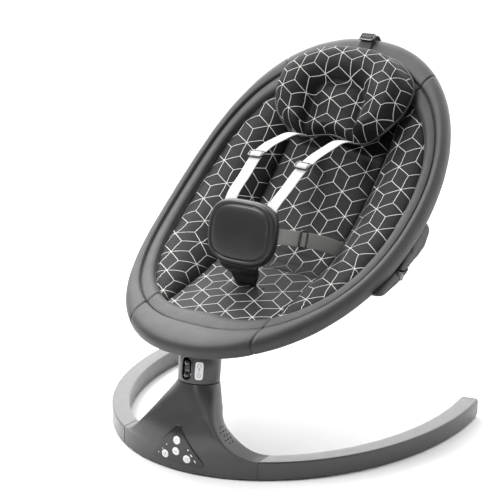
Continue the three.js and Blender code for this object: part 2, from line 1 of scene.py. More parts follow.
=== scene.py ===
import bmesh
import bpy
import numpy as np
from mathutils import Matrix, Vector


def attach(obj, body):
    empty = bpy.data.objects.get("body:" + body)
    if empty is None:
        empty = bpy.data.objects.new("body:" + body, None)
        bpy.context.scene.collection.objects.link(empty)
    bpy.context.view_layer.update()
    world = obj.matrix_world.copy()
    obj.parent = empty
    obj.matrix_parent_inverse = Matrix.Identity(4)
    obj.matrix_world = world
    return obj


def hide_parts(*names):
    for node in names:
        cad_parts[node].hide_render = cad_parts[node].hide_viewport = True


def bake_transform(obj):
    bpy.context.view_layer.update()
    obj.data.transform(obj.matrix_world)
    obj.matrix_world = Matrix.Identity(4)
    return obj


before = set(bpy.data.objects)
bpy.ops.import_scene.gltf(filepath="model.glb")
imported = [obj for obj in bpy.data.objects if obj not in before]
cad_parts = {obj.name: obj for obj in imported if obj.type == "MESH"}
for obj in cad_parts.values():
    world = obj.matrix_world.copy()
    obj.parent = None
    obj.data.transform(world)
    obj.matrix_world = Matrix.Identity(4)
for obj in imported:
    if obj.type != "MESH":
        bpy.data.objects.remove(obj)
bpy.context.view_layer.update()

# Geometry below is worked out in millimetres in the CAD frame and turned into metres when a mesh is made.
MM = 0.001
SHIFT = -5.9  # puts the middle of the overall box at Y = 0


# ---------- small maths ----------
def smoothstep(v, a, b):
    q = np.clip((np.asarray(v, float) - a) / (b - a), 0, 1)
    return q * q * (3 - 2 * q)


def rounded(v, power):
    return np.sign(v) * np.abs(v) ** (2 / power)


def lerp(a, b, t):
    return a + (b - a) * t


def bump(d, width):
    return np.exp(-((d / width) ** 2))


def spline(points, count):
    """Natural cubic spline through points, sampled evenly by chord length."""
    p = np.asarray(points, float)
    t = np.concatenate([[0], np.cumsum(np.linalg.norm(np.diff(p, axis=0), axis=1))])
    n = len(p)
    h = np.diff(t)
    a = np.eye(n)
    b = np.zeros_like(p)
    for i in range(1, n - 1):
        a[i, i - 1], a[i, i], a[i, i + 1] = h[i - 1], 2 * (h[i - 1] + h[i]), h[i]
        b[i] = 6 * ((p[i + 1] - p[i]) / h[i] - (p[i] - p[i - 1]) / h[i - 1])
    m = np.linalg.solve(a, b)
    at = np.linspace(0, t[-1], count)
    i = np.clip(np.searchsorted(t, at, side="right") - 1, 0, n - 2)
    q, w = (at - t[i])[:, None], h[i][:, None]
    return (
        m[i] * (w - q) ** 3 / (6 * w) + m[i + 1] * q**3 / (6 * w)
        + (p[i] / w - m[i] * w / 6) * (w - q) + (p[i + 1] / w - m[i + 1] * w / 6) * q
    )


def closed_spline(points, per_segment):
    """Closed Catmull-Rom curve through points."""
    p = np.asarray(points, float)
    n = len(p)
    out = []
    for i in range(n):
        a, b, c, d = p[i - 1], p[i], p[(i + 1) % n], p[(i + 2) % n]
        for k in range(per_segment):
            t = k / per_segment
            out.append(
                0.5 * (2 * b + (c - a) * t + (2 * a - 5 * b + 4 * c - d) * t * t
                       + (3 * b - a - 3 * c + d) * t**3)
            )
    return np.array(out)


# ---------- the seat's surface: length along it, x across it, height above the rim plane ----------
LENGTH, HALF_WIDTH, POWER, EGG = 727.0, 240.0, 2.2, 0.057
FOOT_DEG, HEAD_DEG, BEND_START, BEND_END = 17.75, 47.46, 0.038, 0.906
HINGE_S, HINGE_DROP = 327.0, 15.0


def seat_angle(s):
    return np.radians(lerp(FOOT_DEG, HEAD_DEG, smoothstep(np.asarray(s) / LENGTH, BEND_START, BEND_END)))


_S = np.linspace(-60, LENGTH + 60, 1601)
_A = seat_angle(_S)
_mid = (_A[1:] + _A[:-1]) / 2
_step = _S[1] - _S[0]
_Y = np.concatenate([[0], np.cumsum(_step * np.cos(_mid))])
_Z = np.concatenate([[0], np.cumsum(_step * np.sin(_mid))])
_Y += -297.7 + SHIFT - np.interp(0, _S, _Y)
_Z += 213.7 - np.interp(0, _S, _Z)


def seat_point(s, x, h):
    s, x, h = np.broadcast_arrays(*(np.asarray(v, float) for v in (s, x, h)))
    a = seat_angle(s)
    return np.stack([x, np.interp(s, _S, _Y) - np.sin(a) * h, np.interp(s, _S, _Z) + np.cos(a) * h], -1)


def seat_inverse(p):
    """Length along the seat and height above it of points in millimetres."""
    y, z = p[:, 1], p[:, 2]
    coarse = np.arange(0, len(_S), 20)
    near = ((y[:, None] - _Y[coarse]) ** 2 + (z[:, None] - _Z[coarse]) ** 2).argmin(1)
    s = _S[coarse][near]
    for _ in range(4):
        a = seat_angle(s)
        s = s + (y - np.interp(s, _S, _Y)) * np.cos(a) + (z - np.interp(s, _S, _Z)) * np.sin(a)
    a = seat_angle(s)
    h = -(y - np.interp(s, _S, _Y)) * np.sin(a) + (z - np.interp(s, _S, _Z)) * np.cos(a)
    return s, h


def outline(t):
    u = rounded(np.cos(t), POWER)
    v = rounded(np.sin(t), POWER) * (1 + EGG * u)
    return (0.5 + 0.5 * u) * LENGTH, HALF_WIDTH * v, u


def rim_flat(t, inset):
    """Length and x of a point a distance inside the rim's outline; t is 0 at the head."""
    s0, x0, _ = outline(t - 1e-3)
    s, x, _ = outline(t)
    s1, x1, _ = outline(t + 1e-3)
    n = np.hypot(s1 - s0, x1 - x0)
    return s - (x1 - x0) / n * inset, x + (s1 - s0) / n * inset


def rim_point(t, inset, h):
    s, x = rim_flat(t, inset)
    return seat_point(s, x, h)


def band_width(t):
    u = outline(t)[2]
    return 40 + 60 * np.maximum(-u, 0) ** 4 + 50 * np.maximum(u, 0) ** 4


# Inner edge of the rim's cloth, as x against s, for one half of the seat.
_t = np.linspace(0.001, np.pi - 0.001, 1200)
_edge_s, _edge_x = rim_flat(_t, band_width(_t))
_order = np.argsort(_edge_s)
_edge_s, _edge_x = _edge_s[_order], _edge_x[_order]


def print_half(s):
    return np.interp(s, _edge_s, _edge_x, left=0, right=0)


_foot = _edge_s < LENGTH / 2
_foot_order = np.argsort(_edge_x[_foot])
_head_order = np.argsort(_edge_x[~_foot])


def print_foot(x):
    return np.interp(np.abs(x), _edge_x[_foot][_foot_order], _edge_s[_foot][_foot_order])


def print_head(x):
    return np.interp(np.abs(x), _edge_x[~_foot][_head_order], _edge_s[~_foot][_head_order])


# ---------- meshes ----------
def mesh_object(name, points, faces, material, coords=None, outward=True, smooth=True):
    mesh = bpy.data.meshes.new(name)
    mesh.from_pydata((np.asarray(points, float) * MM).tolist(), [], faces)
    mesh.update()
    if outward:
        bm = bmesh.new()
        bm.from_mesh(mesh)
        bmesh.ops.recalc_face_normals(bm, faces=bm.faces)
        bm.to_mesh(mesh)
        bm.free()
    mesh.polygons.foreach_set("use_smooth", [smooth] * len(mesh.polygons))
    obj = bpy.data.objects.new(name, mesh)
    bpy.context.scene.collection.objects.link(obj)
    if material is not None:
        mesh.materials.append(material)
    if coords is not None:
        set_cloth(obj, coords)
    return obj


def set_cloth(obj, coords):
    """Flat coordinates of the cloth in millimetres, kept with each vertex; z darkens the cloth: 1 in a seam, and
    painted shade near the creases of the seat's padding.
    """
    mesh = obj.data
    layer = mesh.attributes.get("cloth") or mesh.attributes.new("cloth", "FLOAT_VECTOR", "POINT")
    layer.data.foreach_set("vector", np.asarray(coords, np.float32).reshape(-1))


def points_of(obj):
    co = np.zeros(len(obj.data.vertices) * 3)
    obj.data.vertices.foreach_get("co", co)
    return co.reshape(-1, 3) / MM


def set_points(obj, points):
    obj.data.vertices.foreach_set("co", (np.asarray(points) * MM).reshape(-1))
    obj.data.update()


def grid_faces(rows, cols, wrap_rows=False, wrap_cols=False, start=0):
    i, j = np.meshgrid(
        np.arange(rows if wrap_rows else rows - 1), np.arange(cols if wrap_cols else cols - 1), indexing="ij"
    )
    i, j = i.ravel(), j.ravel()
    k, l = (i + 1) % rows, (j + 1) % cols
    quads = np.stack([i * cols + j, i * cols + l, k * cols + l, k * cols + j], -1) + start
    return quads.tolist()


def swept(name, rings, material, coords=None, closed=False):
    """A skin through rings of points (rows, columns, 3); ends are capped unless it closes on itself."""
    rows, cols = rings.shape[:2]
    faces = grid_faces(rows, cols, closed, True)
    if not closed:
        faces += [list(range(cols)), [(rows - 1) * cols + j for j in range(cols)]]
    return mesh_object(name, rings.reshape(-1, 3), faces, material,
                       None if coords is None else coords.reshape(-1, 3))


def slab(name, top, bottom, material, coords=None):
    """A closed body between two grids of points that share their layout."""
    rows, cols = top.shape[:2]
    n = rows * cols
    faces = grid_faces(rows, cols) + grid_faces(rows, cols, start=n)
    for i in range(rows - 1):
        for j in (0, cols - 1):
            a, b = i * cols + j, (i + 1) * cols + j
            faces.append([a, b, n + b, n + a])
    for j in range(cols - 1):
        for i in (0, rows - 1):
            a, b = i * cols + j, i * cols + j + 1
            faces.append([a, b, n + b, n + a])
    points = np.concatenate([top.reshape(-1, 3), bottom.reshape(-1, 3)])
    if coords is not None:
        coords = np.concatenate([coords.reshape(-1, 3)] * 2)
    return mesh_object(name, points, faces, material, coords)


def joined(name, parts):
    """One mesh object from several; attributes and material slots go with it."""
    bpy.ops.object.select_all(action="DESELECT")
    for part in parts:
        part.select_set(True)
    bpy.context.view_layer.objects.active = parts[0]
    bpy.ops.object.join()
    parts[0].name = name
    return parts[0]


def tube(name, path, radius, material, sides=12, closed=False):
    p = np.asarray(path, float)
    if closed:
        along = np.roll(p, -1, 0) - np.roll(p, 1, 0)
    else:
        along = np.gradient(p, axis=0)
    along /= np.linalg.norm(along, axis=1)[:, None]
    guide = np.array([0.31, 0.17, 0.93])
    side = np.cross(along, guide)
    side /= np.linalg.norm(side, axis=1)[:, None]
    up = np.cross(side, along)
    a = 2 * np.pi * np.arange(sides) / sides
    radius = np.broadcast_to(radius, len(p))
    rings = p[:, None] + radius[:, None, None] * (
        np.cos(a)[None, :, None] * side[:, None] + np.sin(a)[None, :, None] * up[:, None]
    )
    run = np.concatenate([[0], np.cumsum(np.linalg.norm(np.diff(p, axis=0), axis=1))])
    coords = np.stack(np.broadcast_arrays(a[None] * radius.mean(), run[:, None], 0.0), -1)
    return swept(name, rings, material, coords, closed)


def ribbon(name, centre, across, width, thickness, material, edge=0.7, taper=None):
    """A flat strap with rounded edges along centre; its cloth coordinates are across and along."""
    c = np.asarray(centre, float)
    along = np.gradient(c, axis=0)
    along /= np.linalg.norm(along, axis=1)[:, None]
    w = np.broadcast_to(np.asarray(across, float), c.shape).copy()
    w -= (w * along).sum(1)[:, None] * along
    w /= np.linalg.norm(w, axis=1)[:, None]
    n = np.cross(w, along)
    half, th = width / 2, thickness / 2
    flat = np.linspace(-half + edge, half - edge, 9)
    arc = np.radians([-60, -30, 0, 30, 60])
    ring = [(q, th) for q in flat]
    ring += [(half - edge + edge * np.cos(b), th * np.sin(b)) for b in arc[::-1]]
    ring += [(q, -th) for q in flat[::-1]]
    ring += [(-half + edge - edge * np.cos(b), th * np.sin(b)) for b in arc]
    ring = np.array(ring)
    taper = np.broadcast_to(1.0 if taper is None else taper, len(c))[:, None, None]
    rings = c[:, None] + taper * ring[None, :, :1] * w[:, None] + ring[None, :, 1:] * n[:, None]
    run = np.concatenate([[0], np.cumsum(np.linalg.norm(np.diff(c, axis=0), axis=1))])
    coords = np.stack(np.broadcast_arrays(ring[None, :, 0], run[:, None], 0.0), -1)
    return swept(name, rings, material, coords)


# ---------- materials ----------
class Paint:
    """Builds one procedural material."""

    def __init__(self, name):
        self.material = bpy.data.materials.new(name)
        self.material.use_nodes = True
        self.tree = self.material.node_tree
        self.shader = self.tree.nodes["Principled BSDF"]

    def put(self, socket, value):
        if isinstance(value, bpy.types.NodeSocket):
            self.tree.links.new(value, socket)
        elif hasattr(value, "__len__") and len(value) == 3 and socket.type == "RGBA":
            socket.default_value = (*value, 1)
        else:
            socket.default_value = value

    def node(self, kind, output=0, options=None, **values):
        made = self.tree.nodes.new(kind)
        for key, value in (options or {}).items():
            setattr(made, key, value)
        for key, value in values.items():
            self.put(made.inputs[int(key[1:])] if key[1:].isdigit() else made.inputs[key], value)
        return made.outputs[output]

    def math(self, operation, a, b=0.0, c=0.0, clamp=False):
        return self.node("ShaderNodeMath", 0, {"operation": operation, "use_clamp": clamp}, _0=a, _1=b, _2=c)

    def cloth(self):
        return self.node("ShaderNodeAttribute", 1, {"attribute_name": "cloth", "attribute_type": "GEOMETRY"})

    def place(self):
        return self.node("ShaderNodeTexCoord", 3)

    def scaled(self, vector, by):
        return self.node("ShaderNodeVectorMath", 0, {"operation": "MULTIPLY"}, _0=vector, _1=by)

    def split(self, vector):
        made = self.tree.nodes.new("ShaderNodeSeparateXYZ")
        self.put(made.inputs[0], vector)
        return made.outputs

    def noise(self, vector, scale, detail=2.0, roughness=0.5):
        return self.node("ShaderNodeTexNoise", 0, None, Vector=vector, Scale=scale, Detail=detail,
                         Roughness=roughness)

    def spread(self, value, low, high, out_low, out_high):
        return self.node("ShaderNodeMapRange", 0, None, _0=value, _1=low, _2=high, _3=out_low, _4=out_high)

    def mix(self, share, a, b):
        made = self.tree.nodes.new("ShaderNodeMix")
        made.data_type = "RGBA"
        self.put(made.inputs[0], share)
        self.put(made.inputs[6], a)
        self.put(made.inputs[7], b)
        return made.outputs[2]

    def bumps(self, *layers):
        """layers are (height socket, distance in metres, strength)."""
        normal = None
        for height, distance, strength in layers:
            values = {"Strength": strength, "Distance": distance, "Height": height}
            if normal is not None:
                values["Normal"] = normal
            normal = self.node("ShaderNodeBump", 0, None, **values)
        self.put(self.shader.inputs["Normal"], normal)

    def set(self, **values):
        for key, value in values.items():
            self.put(self.shader.inputs[key.replace("_", " ")], value)


def tint(color, factor):
    return tuple(min(1.0, c * factor) for c in color)


def plastic(name, color, rough, vary=0.12, grain=0.25, coat=0.0, metallic=0.0):
    """Moulded plastic: faint flow marks in colour, uneven gloss, fine grain."""
    p = Paint(name)
    at = p.place()
    flow = p.noise(p.scaled(at, (9.0, 9.0, 5.0)), 1.0, 3.0)
    p.set(Base_Color=p.mix(p.spread(flow, 0.3, 0.7, 0.0, 1.0), tint(color, 1 - vary), tint(color, 1 + vary)))
    p.set(Roughness=p.spread(p.noise(at, 60.0, 3.0), 0.3, 0.7, rough - 0.04, rough + 0.05))
    p.bumps((p.noise(at, 700.0, 1.0), 0.00004, grain * 0.4), (p.noise(at, 14.0, 1.0), 0.0004, 0.05))
    if metallic:
        p.set(Metallic=metallic)
    if coat:
        p.set(Coat_Weight=coat, Coat_Roughness=0.22)
    return p.material


def metal(name, color, rough):
    p = Paint(name)
    at = p.place()
    brushed = p.noise(p.scaled(at, (90.0, 1400.0, 90.0)), 1.0, 2.0)
    p.set(Base_Color=p.mix(brushed, tint(color, 0.86), tint(color, 1.1)), Metallic=1.0)
    p.set(Roughness=p.spread(brushed, 0.3, 0.7, rough - 0.08, rough + 0.08))
    p.bumps((brushed, 0.00003, 0.3))
    return p.material


def weave(p, at, pitch):
    """Plain weave height from 0 to 1 on flat coordinates in millimetres."""
    x, y, _ = p.split(at)
    k = np.pi / pitch
    a = p.math("SINE", p.math("MULTIPLY", x, k))
    b = p.math("SINE", p.math("MULTIPLY", y, k))
    return p.math("MULTIPLY_ADD", p.math("MULTIPLY", a, b), 0.5, 0.5)


def rim_fabric(name, dark, light, sheen):
    """Heathered woven cover cloth, darker in its seams: partly the seam lines, partly painted shade in their
    grooves.
    """
    p = Paint(name)
    at = p.cloth()
    speck = p.noise(at, 0.9, 3.0, 0.7)
    patch = p.noise(at, 0.035, 2.0)
    threads = weave(p, at, 0.8)
    tone = p.math("MULTIPLY_ADD", speck, 0.7, p.math("MULTIPLY", patch, 0.3))
    base = p.mix(p.spread(tone, 0.36, 0.64, 0.0, 1.0), dark, light)
    base = p.mix(p.math("MULTIPLY", threads, 0.25), base, tint(dark, 0.55))
    seam = p.split(at)[2]
    # Dark seam lines, partly painted shade in the seam grooves.
    base = p.mix(p.math("MULTIPLY", seam, 1.5, clamp=True), base, (0.002, 0.002, 0.002))
    p.set(Base_Color=base, Roughness=p.spread(speck, 0.3, 0.7, 0.5, 0.6), Specular_IOR_Level=0.6)
    p.set(Sheen_Weight=sheen, Sheen_Roughness=0.45, Sheen_Tint=(0.8, 0.8, 0.8))
    p.bumps((p.noise(at, 0.06, 2.0), 0.0012, 0.35), (threads, 0.00018, 0.35), (speck, 0.0003, 0.35))
    return p.material


# Millimetres between two stars of the printed lattice, along a row and from row to row.
STAR, ROW = 51.0, 44.17


def print_fabric(name, phase=(0.0, 0.0), light=1.0):
    """Charcoal cloth with a printed lattice of thin pale lines that draws stacked cubes; light scales its dark
    colour, painting lit and shaded copies of the one cloth.
    """
    p = Paint(name)
    at = p.cloth()
    wobble = p.noise(at, 0.045, 2.0)
    x, y, seam = p.split(at)
    x = p.math("ADD", x, p.spread(wobble, 0.3, 0.7, phase[0] - 0.8, phase[0] + 0.8))
    y = p.math("ADD", y, phase[1])

    def cell(offset_x, offset_y):
        def wrap(v, offset, period):
            q = p.math("DIVIDE", p.math("ADD", v, offset), period)
            return p.math("MULTIPLY", p.math("SUBTRACT", q, p.math("ROUND", q)), period)

        dx, dy = wrap(x, offset_x, STAR), wrap(y, offset_y, 2 * ROW)
        far = p.math("MULTIPLY_ADD", dx, dx, p.math("MULTIPLY", dy, dy))
        slant = p.math("MULTIPLY", dy, 0.8660254)
        rise = p.math("ABSOLUTE", p.math("MULTIPLY_ADD", dx, 0.5, slant))
        fall = p.math("ABSOLUTE", p.math("MULTIPLY_ADD", dx, 0.5, p.math("MULTIPLY", slant, -1.0)))
        return far, p.math("MINIMUM", p.math("ABSOLUTE", dx), p.math("MINIMUM", rise, fall))

    far_a, line_a = cell(0.0, 0.0)
    far_b, line_b = cell(STAR / 2, ROW)
    first = p.math("LESS_THAN", far_a, far_b)
    line = p.math("ADD", p.math("MULTIPLY", line_a, first),
                  p.math("MULTIPLY", line_b, p.math("SUBTRACT", 1.0, first)))
    ink = p.spread(line, 0.3, 0.62, 1.0, 0.0)
    worn = p.spread(p.noise(at, 0.7, 3.0, 0.7), 0.35, 0.6, 0.72, 1.0)
    ink = p.math("MULTIPLY", ink, worn)
    threads = weave(p, at, 0.75)
    speck = p.noise(at, 1.1, 2.0, 0.7)
    # Painted light: light scales the cloth's colour for its lit and shaded copies.
    dark = p.mix(p.spread(speck, 0.35, 0.65, 0.0, 1.0), tint((0.006, 0.006, 0.0062), light),
                 tint((0.014, 0.014, 0.014), light))
    base = p.mix(ink, dark, (0.8, 0.8, 0.78))
    # Painted shade: the cloth's z darkens its seams and the creases between the seat's panels.
    base = p.mix(p.math("MULTIPLY", seam, 0.9, clamp=True), base, (0.003, 0.003, 0.003))
    p.set(Base_Color=base, Roughness=p.spread(speck, 0.3, 0.7, 0.48, 0.62))
    p.set(Sheen_Weight=0.03, Sheen_Roughness=0.4, Sheen_Tint=(0.75, 0.75, 0.72), Specular_IOR_Level=0.16)
    p.bumps((p.noise(at, 0.05, 2.0), 0.0014, 0.35), (threads, 0.00016, 0.4), (ink, 0.0001, 0.3))
    return p.material


def leatherette(name, color, rough):
    """Fine-grained coated cloth."""
    p = Paint(name)
    at = p.place()
    grain = p.node("ShaderNodeTexVoronoi", 0, None, Vector=at, Scale=900.0)
    patch = p.noise(at, 30.0, 3.0)
    p.set(Base_Color=p.mix(p.spread(patch, 0.3, 0.7, 0.0, 1.0), tint(color, 0.85), tint(color, 1.15)))
    p.set(Roughness=p.spread(grain, 0.0, 0.7, rough + 0.06, rough - 0.05))
    p.bumps((patch, 0.001, 0.12), (grain, 0.00012, 0.35))
    p.set(Coat_Weight=0.12, Coat_Roughness=0.3)
    return p.material


def webbing(name, color):
    """Ribbed strap: cross ribs with a tighter woven edge."""
    p = Paint(name)
    at = p.cloth()
    x, y, _ = p.split(at)
    ribs = p.math("MULTIPLY_ADD", p.math("SINE", p.math("MULTIPLY", y, 2 * np.pi / 1.5)), 0.5, 0.5)
    cords = p.math("MULTIPLY_ADD", p.math("SINE", p.math("MULTIPLY", x, 2 * np.pi / 2.2)), 0.5, 0.5)
    edge = p.spread(p.math("ABSOLUTE", x), 10.3, 10.9, 0.0, 1.0)
    pattern = p.math("MULTIPLY", ribs, p.math("MULTIPLY_ADD", cords, 0.5, 0.5))
    fuzz = p.noise(at, 0.8, 3.0, 0.7)
    base = p.mix(p.math("MULTIPLY", pattern, 0.3), color, tint(color, 0.72))
    base = p.mix(p.math("MULTIPLY", edge, 0.25), base, tint(color, 0.6))
    base = p.mix(p.spread(fuzz, 0.35, 0.65, 0.0, 0.25), base, tint(color, 1.12))
    p.set(Base_Color=base, Roughness=p.spread(fuzz, 0.3, 0.7, 0.7, 0.88))
    p.set(Sheen_Weight=0.12, Sheen_Roughness=0.5)
    p.bumps((pattern, 0.0003, 0.5), (fuzz, 0.0002, 0.2))
    return p.material


def board_paint(name):
    p = Paint(name)
    at = p.place()
    cells = p.node("ShaderNodeTexVoronoi", 0, {"feature": "DISTANCE_TO_EDGE"}, Vector=at, Scale=260.0)
    track = p.spread(cells, 0.02, 0.05, 1.0, 0.0)
    p.set(Base_Color=p.mix(track, (0.01, 0.11, 0.04), (0.03, 0.28, 0.1)))
    p.set(Roughness=p.spread(track, 0.0, 1.0, 0.5, 0.3))
    p.bumps((track, 0.0001, 0.5))
    return p.material


def coil_paint(name):
    p = Paint(name)
    at = p.place()
    wires = p.node("ShaderNodeTexWave", 1, {"bands_direction": "Z"}, Vector=at, Scale=700.0, Distortion=0.4)
    p.set(Base_Color=p.mix(wires, (0.32, 0.11, 0.03), (0.8, 0.34, 0.14)), Metallic=1.0)
    p.set(Roughness=p.spread(wires, 0.0, 1.0, 0.5, 0.25))
    p.bumps((wires, 0.0002, 0.6))
    return p.material


shell = plastic("shell_plastic", (0.04, 0.04, 0.041), 0.38, coat=0.2)
arm_paint = plastic("arm_plastic", (0.03, 0.03, 0.031), 0.36, coat=0.5)
panel_paint = plastic("panel_plastic", (0.014, 0.014, 0.0145), 0.24, coat=0.3)
dark = plastic("dark_plastic", (0.02, 0.02, 0.021), 0.4)
bracket_paint = plastic("bracket_plastic", (0.016, 0.016, 0.017), 0.45)
gloss = plastic("gloss_black", (0.012, 0.012, 0.013), 0.12, coat=0.8, grain=0.05)
rubber = plastic("rubber_black", (0.016, 0.016, 0.016), 0.85, grain=0.6)
key_paint = plastic("key_white", (0.86, 0.86, 0.87), 0.35, vary=0.03, coat=0.3)
key_mark = plastic("key_mark", (0.32, 0.32, 0.34), 0.5, vary=0.05)
label_paint = plastic("label_white", (0.8, 0.8, 0.82), 0.4, vary=0.03)
steel = metal("brushed_steel", (0.55, 0.56, 0.58), 0.34)
rim_cloth = rim_fabric("rim_cloth", (0.009, 0.009, 0.0095), (0.036, 0.036, 0.037), 0.22)
under_cloth = rim_fabric("under_cloth", (0.018, 0.018, 0.019), (0.04, 0.04, 0.042), 0.15)
# Lit and shaded copies of one printed cloth: the light factor paints the seat panel and bolsters lighter, the
# pillow a little lighter and the back panel darker, as light falls on them.
print_cloth = print_fabric("print_cloth", light=0.75)
bolster_cloth_painted_lit = print_fabric("bolster_cloth_painted_lit", light=1.5)
seat_cloth_painted_lit = print_fabric("seat_cloth_painted_lit", (8.0, 14.0), 2.7)
pillow_cloth = print_fabric("pillow_cloth", (12.0, 20.0), 1.1)
pad_leather = leatherette("pad_leatherette", (0.013, 0.013, 0.0135), 0.42)
tongue_leather = leatherette("tongue_leatherette", (0.009, 0.009, 0.0095), 0.5)
piping_leather = leatherette("piping_leatherette", (0.022, 0.022, 0.024), 0.38)
white_webbing = webbing("white_webbing", (0.6, 0.6, 0.595))
grey_webbing = webbing("grey_webbing", (0.27, 0.27, 0.26))
dark_webbing = webbing("dark_webbing", (0.05, 0.05, 0.052))
circuit = board_paint("circuit_board")
copper = coil_paint("copper_coil")

CARRIED = {
    steel: ["upper_bearing", "lower_bearing", "swing_shaft", "front_tube", "rear_tube", "cross_tube",
            "hinge_pin_left", "hinge_pin_right"],
    dark: ["base_plate", "speaker", "pivot_housing", "magnet_lever", "swing_head", "spine_arm",
           "harness_buckle", "arm_cap_left", "arm_cap_right"],
    gloss: ["dc_inlet", "release_button_left", "release_button_right", "buckle_button"],
    rubber: ["pedestal_foot", "tip_foot_left", "tip_foot_right"],
    circuit: ["control_board"],
    copper: ["drive_coil"],
}
for finish, names in CARRIED.items():
    for name in names:
        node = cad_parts[name]
        node.data.materials.clear()
        node.data.materials.append(finish)


def soften(names, width):
    """Rounds the moulded edges of carried nodes."""
    for name in names:
        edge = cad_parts[name].modifiers.new("edges", "BEVEL")
        edge.width, edge.segments, edge.limit_method, edge.angle_limit = width, 3, "ANGLE", 0.6
        edge.harden_normals = False


soften(["swing_head", "spine_arm", "harness_buckle"], 0.0012)

# ---------- rim cover ----------
RIM_STEPS = 960
SEAMS = ((np.radians(151.5), np.radians(138.0)), (np.radians(34.0), np.radians(38.5)))


def rim_section(t):
    """Closed section of the soft rim at t, as inset in millimetres and height."""
    u = float(outline(t)[2])
    seam = 0.475 + 0.1 * max(-u, 0) ** 4 + 0.08 * max(u, 0) ** 4
    wide = float(band_width(t)) / 40
    g = 0.055 / wide
    inner = (seam + 1) / 2
    return np.array([
        (0.0, -15), (0.0, -9), (0.045 / wide**0.3, -2.5), (0.14 / wide**0.2, 2.2), (seam * 0.5, 4.0),
        (seam * 0.8, 3.0), (seam - g, 1.0), (seam, -2.4), (seam + g, -0.4), (inner, 0.6),
        (inner + (1 - inner) * 0.55, -1.6), (1 - 0.06 / wide, -5.5), (1.0, -11), (1.0, -17), (0.93, -22),
        (0.72, -26.5), (0.42, -29.6), (0.12, -26.5), (0.02, -21),
    ]), seam


def build_rim():
    ts = np.linspace(0, 2 * np.pi, RIM_STEPS, endpoint=False)
    rings, coords = [], []
    s, x, _ = outline(ts)
    run = np.concatenate([[0], np.cumsum(np.hypot(np.diff(s), np.diff(x)))])
    speed = np.hypot(np.gradient(s, ts), np.gradient(x, ts))
    for i, t in enumerate(ts):
        section, seam = rim_section(t)
        width = float(band_width(t))
        flat = closed_spline(section, 5)
        inset, h = flat[:, 0] * width, flat[:, 1].copy()
        tangent = np.stack([np.roll(inset, -1) - np.roll(inset, 1), np.roll(h, -1) - np.roll(h, 1)], -1)
        tangent /= np.linalg.norm(tangent, axis=1)[:, None]
        share = np.clip(flat[:, 0], 0, 1)
        crease = np.zeros(len(h))
        for outer, inner in SEAMS:
            for mirrored in (t, 2 * np.pi - t):
                d = (mirrored - lerp(outer, inner, share)) * speed[i]
                crease = np.maximum(crease, bump(d, 1.6))
        fold = 0.16 * np.sin(run[i] / 23.0 + share * 3) + 0.1 * np.sin(run[i] / 9.7 + share * 5)
        push = -2.4 * crease + fold * (share > 0.02)
        inset = inset - tangent[:, 1] * push * 1.0
        h = h + tangent[:, 0] * push
        rings.append(rim_point(np.full(len(h), t), inset, h))
        # The cloth's z marks the seams, darkened as seam lines and as painted shade in their grooves.
        lengthwise = bump(flat[:, 0] * width - seam * width, 1.9) * (flat[:, 1] > -6)
        around = np.concatenate([[0], np.cumsum(np.hypot(np.diff(inset), np.diff(h)))])
        coords.append(np.stack([around, np.full(len(h), run[i]), np.maximum(crease, lengthwise)], -1))
    return swept("rim_cover", np.array(rings), rim_cloth, np.array(coords), closed=True)


def across_hinge(obj, reach=46, first="seat_carrier", h=-HINGE_DROP):
    a, b = seat_point([HINGE_S - reach, HINGE_S + reach], 0, h) * MM
    if first == "backrest":
        a, b = b, a
    tuple(a)
    tuple(b)
    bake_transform(obj)


rim_cover = build_rim()
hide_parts("front_rim_cover", "rear_rim_cover")
across_hinge(rim_cover)

# ---------- cloth stretched under the seat ----------
FLOOR_S = [90, 130, 180, 230, 256, 274, 292, 330, 400, 500, 600, 640]
FLOOR_H = [-12, -17, -27, -36, -40, -47, -51, -50, -46, -40, -27, -14]


def floor_height(s):
    """Height of the padding's surface along the middle of the seat."""
    points = np.array([FLOOR_S, FLOOR_H], float).T
    dense = spline(points, 400)
    return np.interp(s, dense[:, 0], dense[:, 1])


def hollow(s, share):
    """Height of the cloth under the padding."""
    deep = np.maximum(0, 27 * np.sin(np.pi * np.clip((s - 100) / 560, 0.001, 0.999)) ** 0.6 - 1)
    deep = deep * smoothstep(s, 100, 260)
    return -31.5 - deep * (1 - smoothstep(np.abs(share), 0.55, 1.05))


def build_underside():
    edge_s, edge_x = rim_flat(np.linspace(0.002, np.pi - 0.002, 600), 25.0)
    order = np.argsort(edge_s)
    stations = np.linspace(edge_s.min() + 2, edge_s.max() - 2, 150)
    half = np.interp(stations, edge_s[order], edge_x[order])
    q = np.linspace(-1, 1, 81)
    s, share = np.meshgrid(stations, q, indexing="ij")
    x = share * half[:, None]
    h = hollow(s, share * half[:, None] / 200) - 1.0 + 3.4 * smoothstep(np.abs(share), 0.84, 1.0)
    h = h + 0.5 * np.sin(s / 17 + x / 31) * (1 - share**4)
    top, bottom = seat_point(s, x, h), seat_point(s, x, h - 1.4)
    coords = np.stack([x, s, np.zeros_like(s)], -1)
    made = slab("seat_underside", top, bottom, under_cloth, coords)
    steps = np.linalg.norm(np.diff(top, axis=1), axis=2).sum(1)
    area = float(((steps[1:] + steps[:-1]) / 2 * np.diff(stations)).sum()) * MM * MM
    return made, area


underside, underside_area = build_underside()
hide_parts("front_sling", "rear_sling")
min(underside_area, 0.45 * 0.66)
across_hinge(underside)

# ---------- padding in the seat ----------
CREASE = 268.0
SPLIT_X = 100.0


def soft_waves(s, x, size):
    """Small uneven rises of hand-sewn padding."""
    return size * (
        0.5 * np.sin(s / 19.0 + x / 37.0) + 0.35 * np.sin(s / 31.0 - x / 17.0 + 1.3)
        + 0.25 * np.sin(x / 11.0 + s / 53.0 + 0.6)
    )


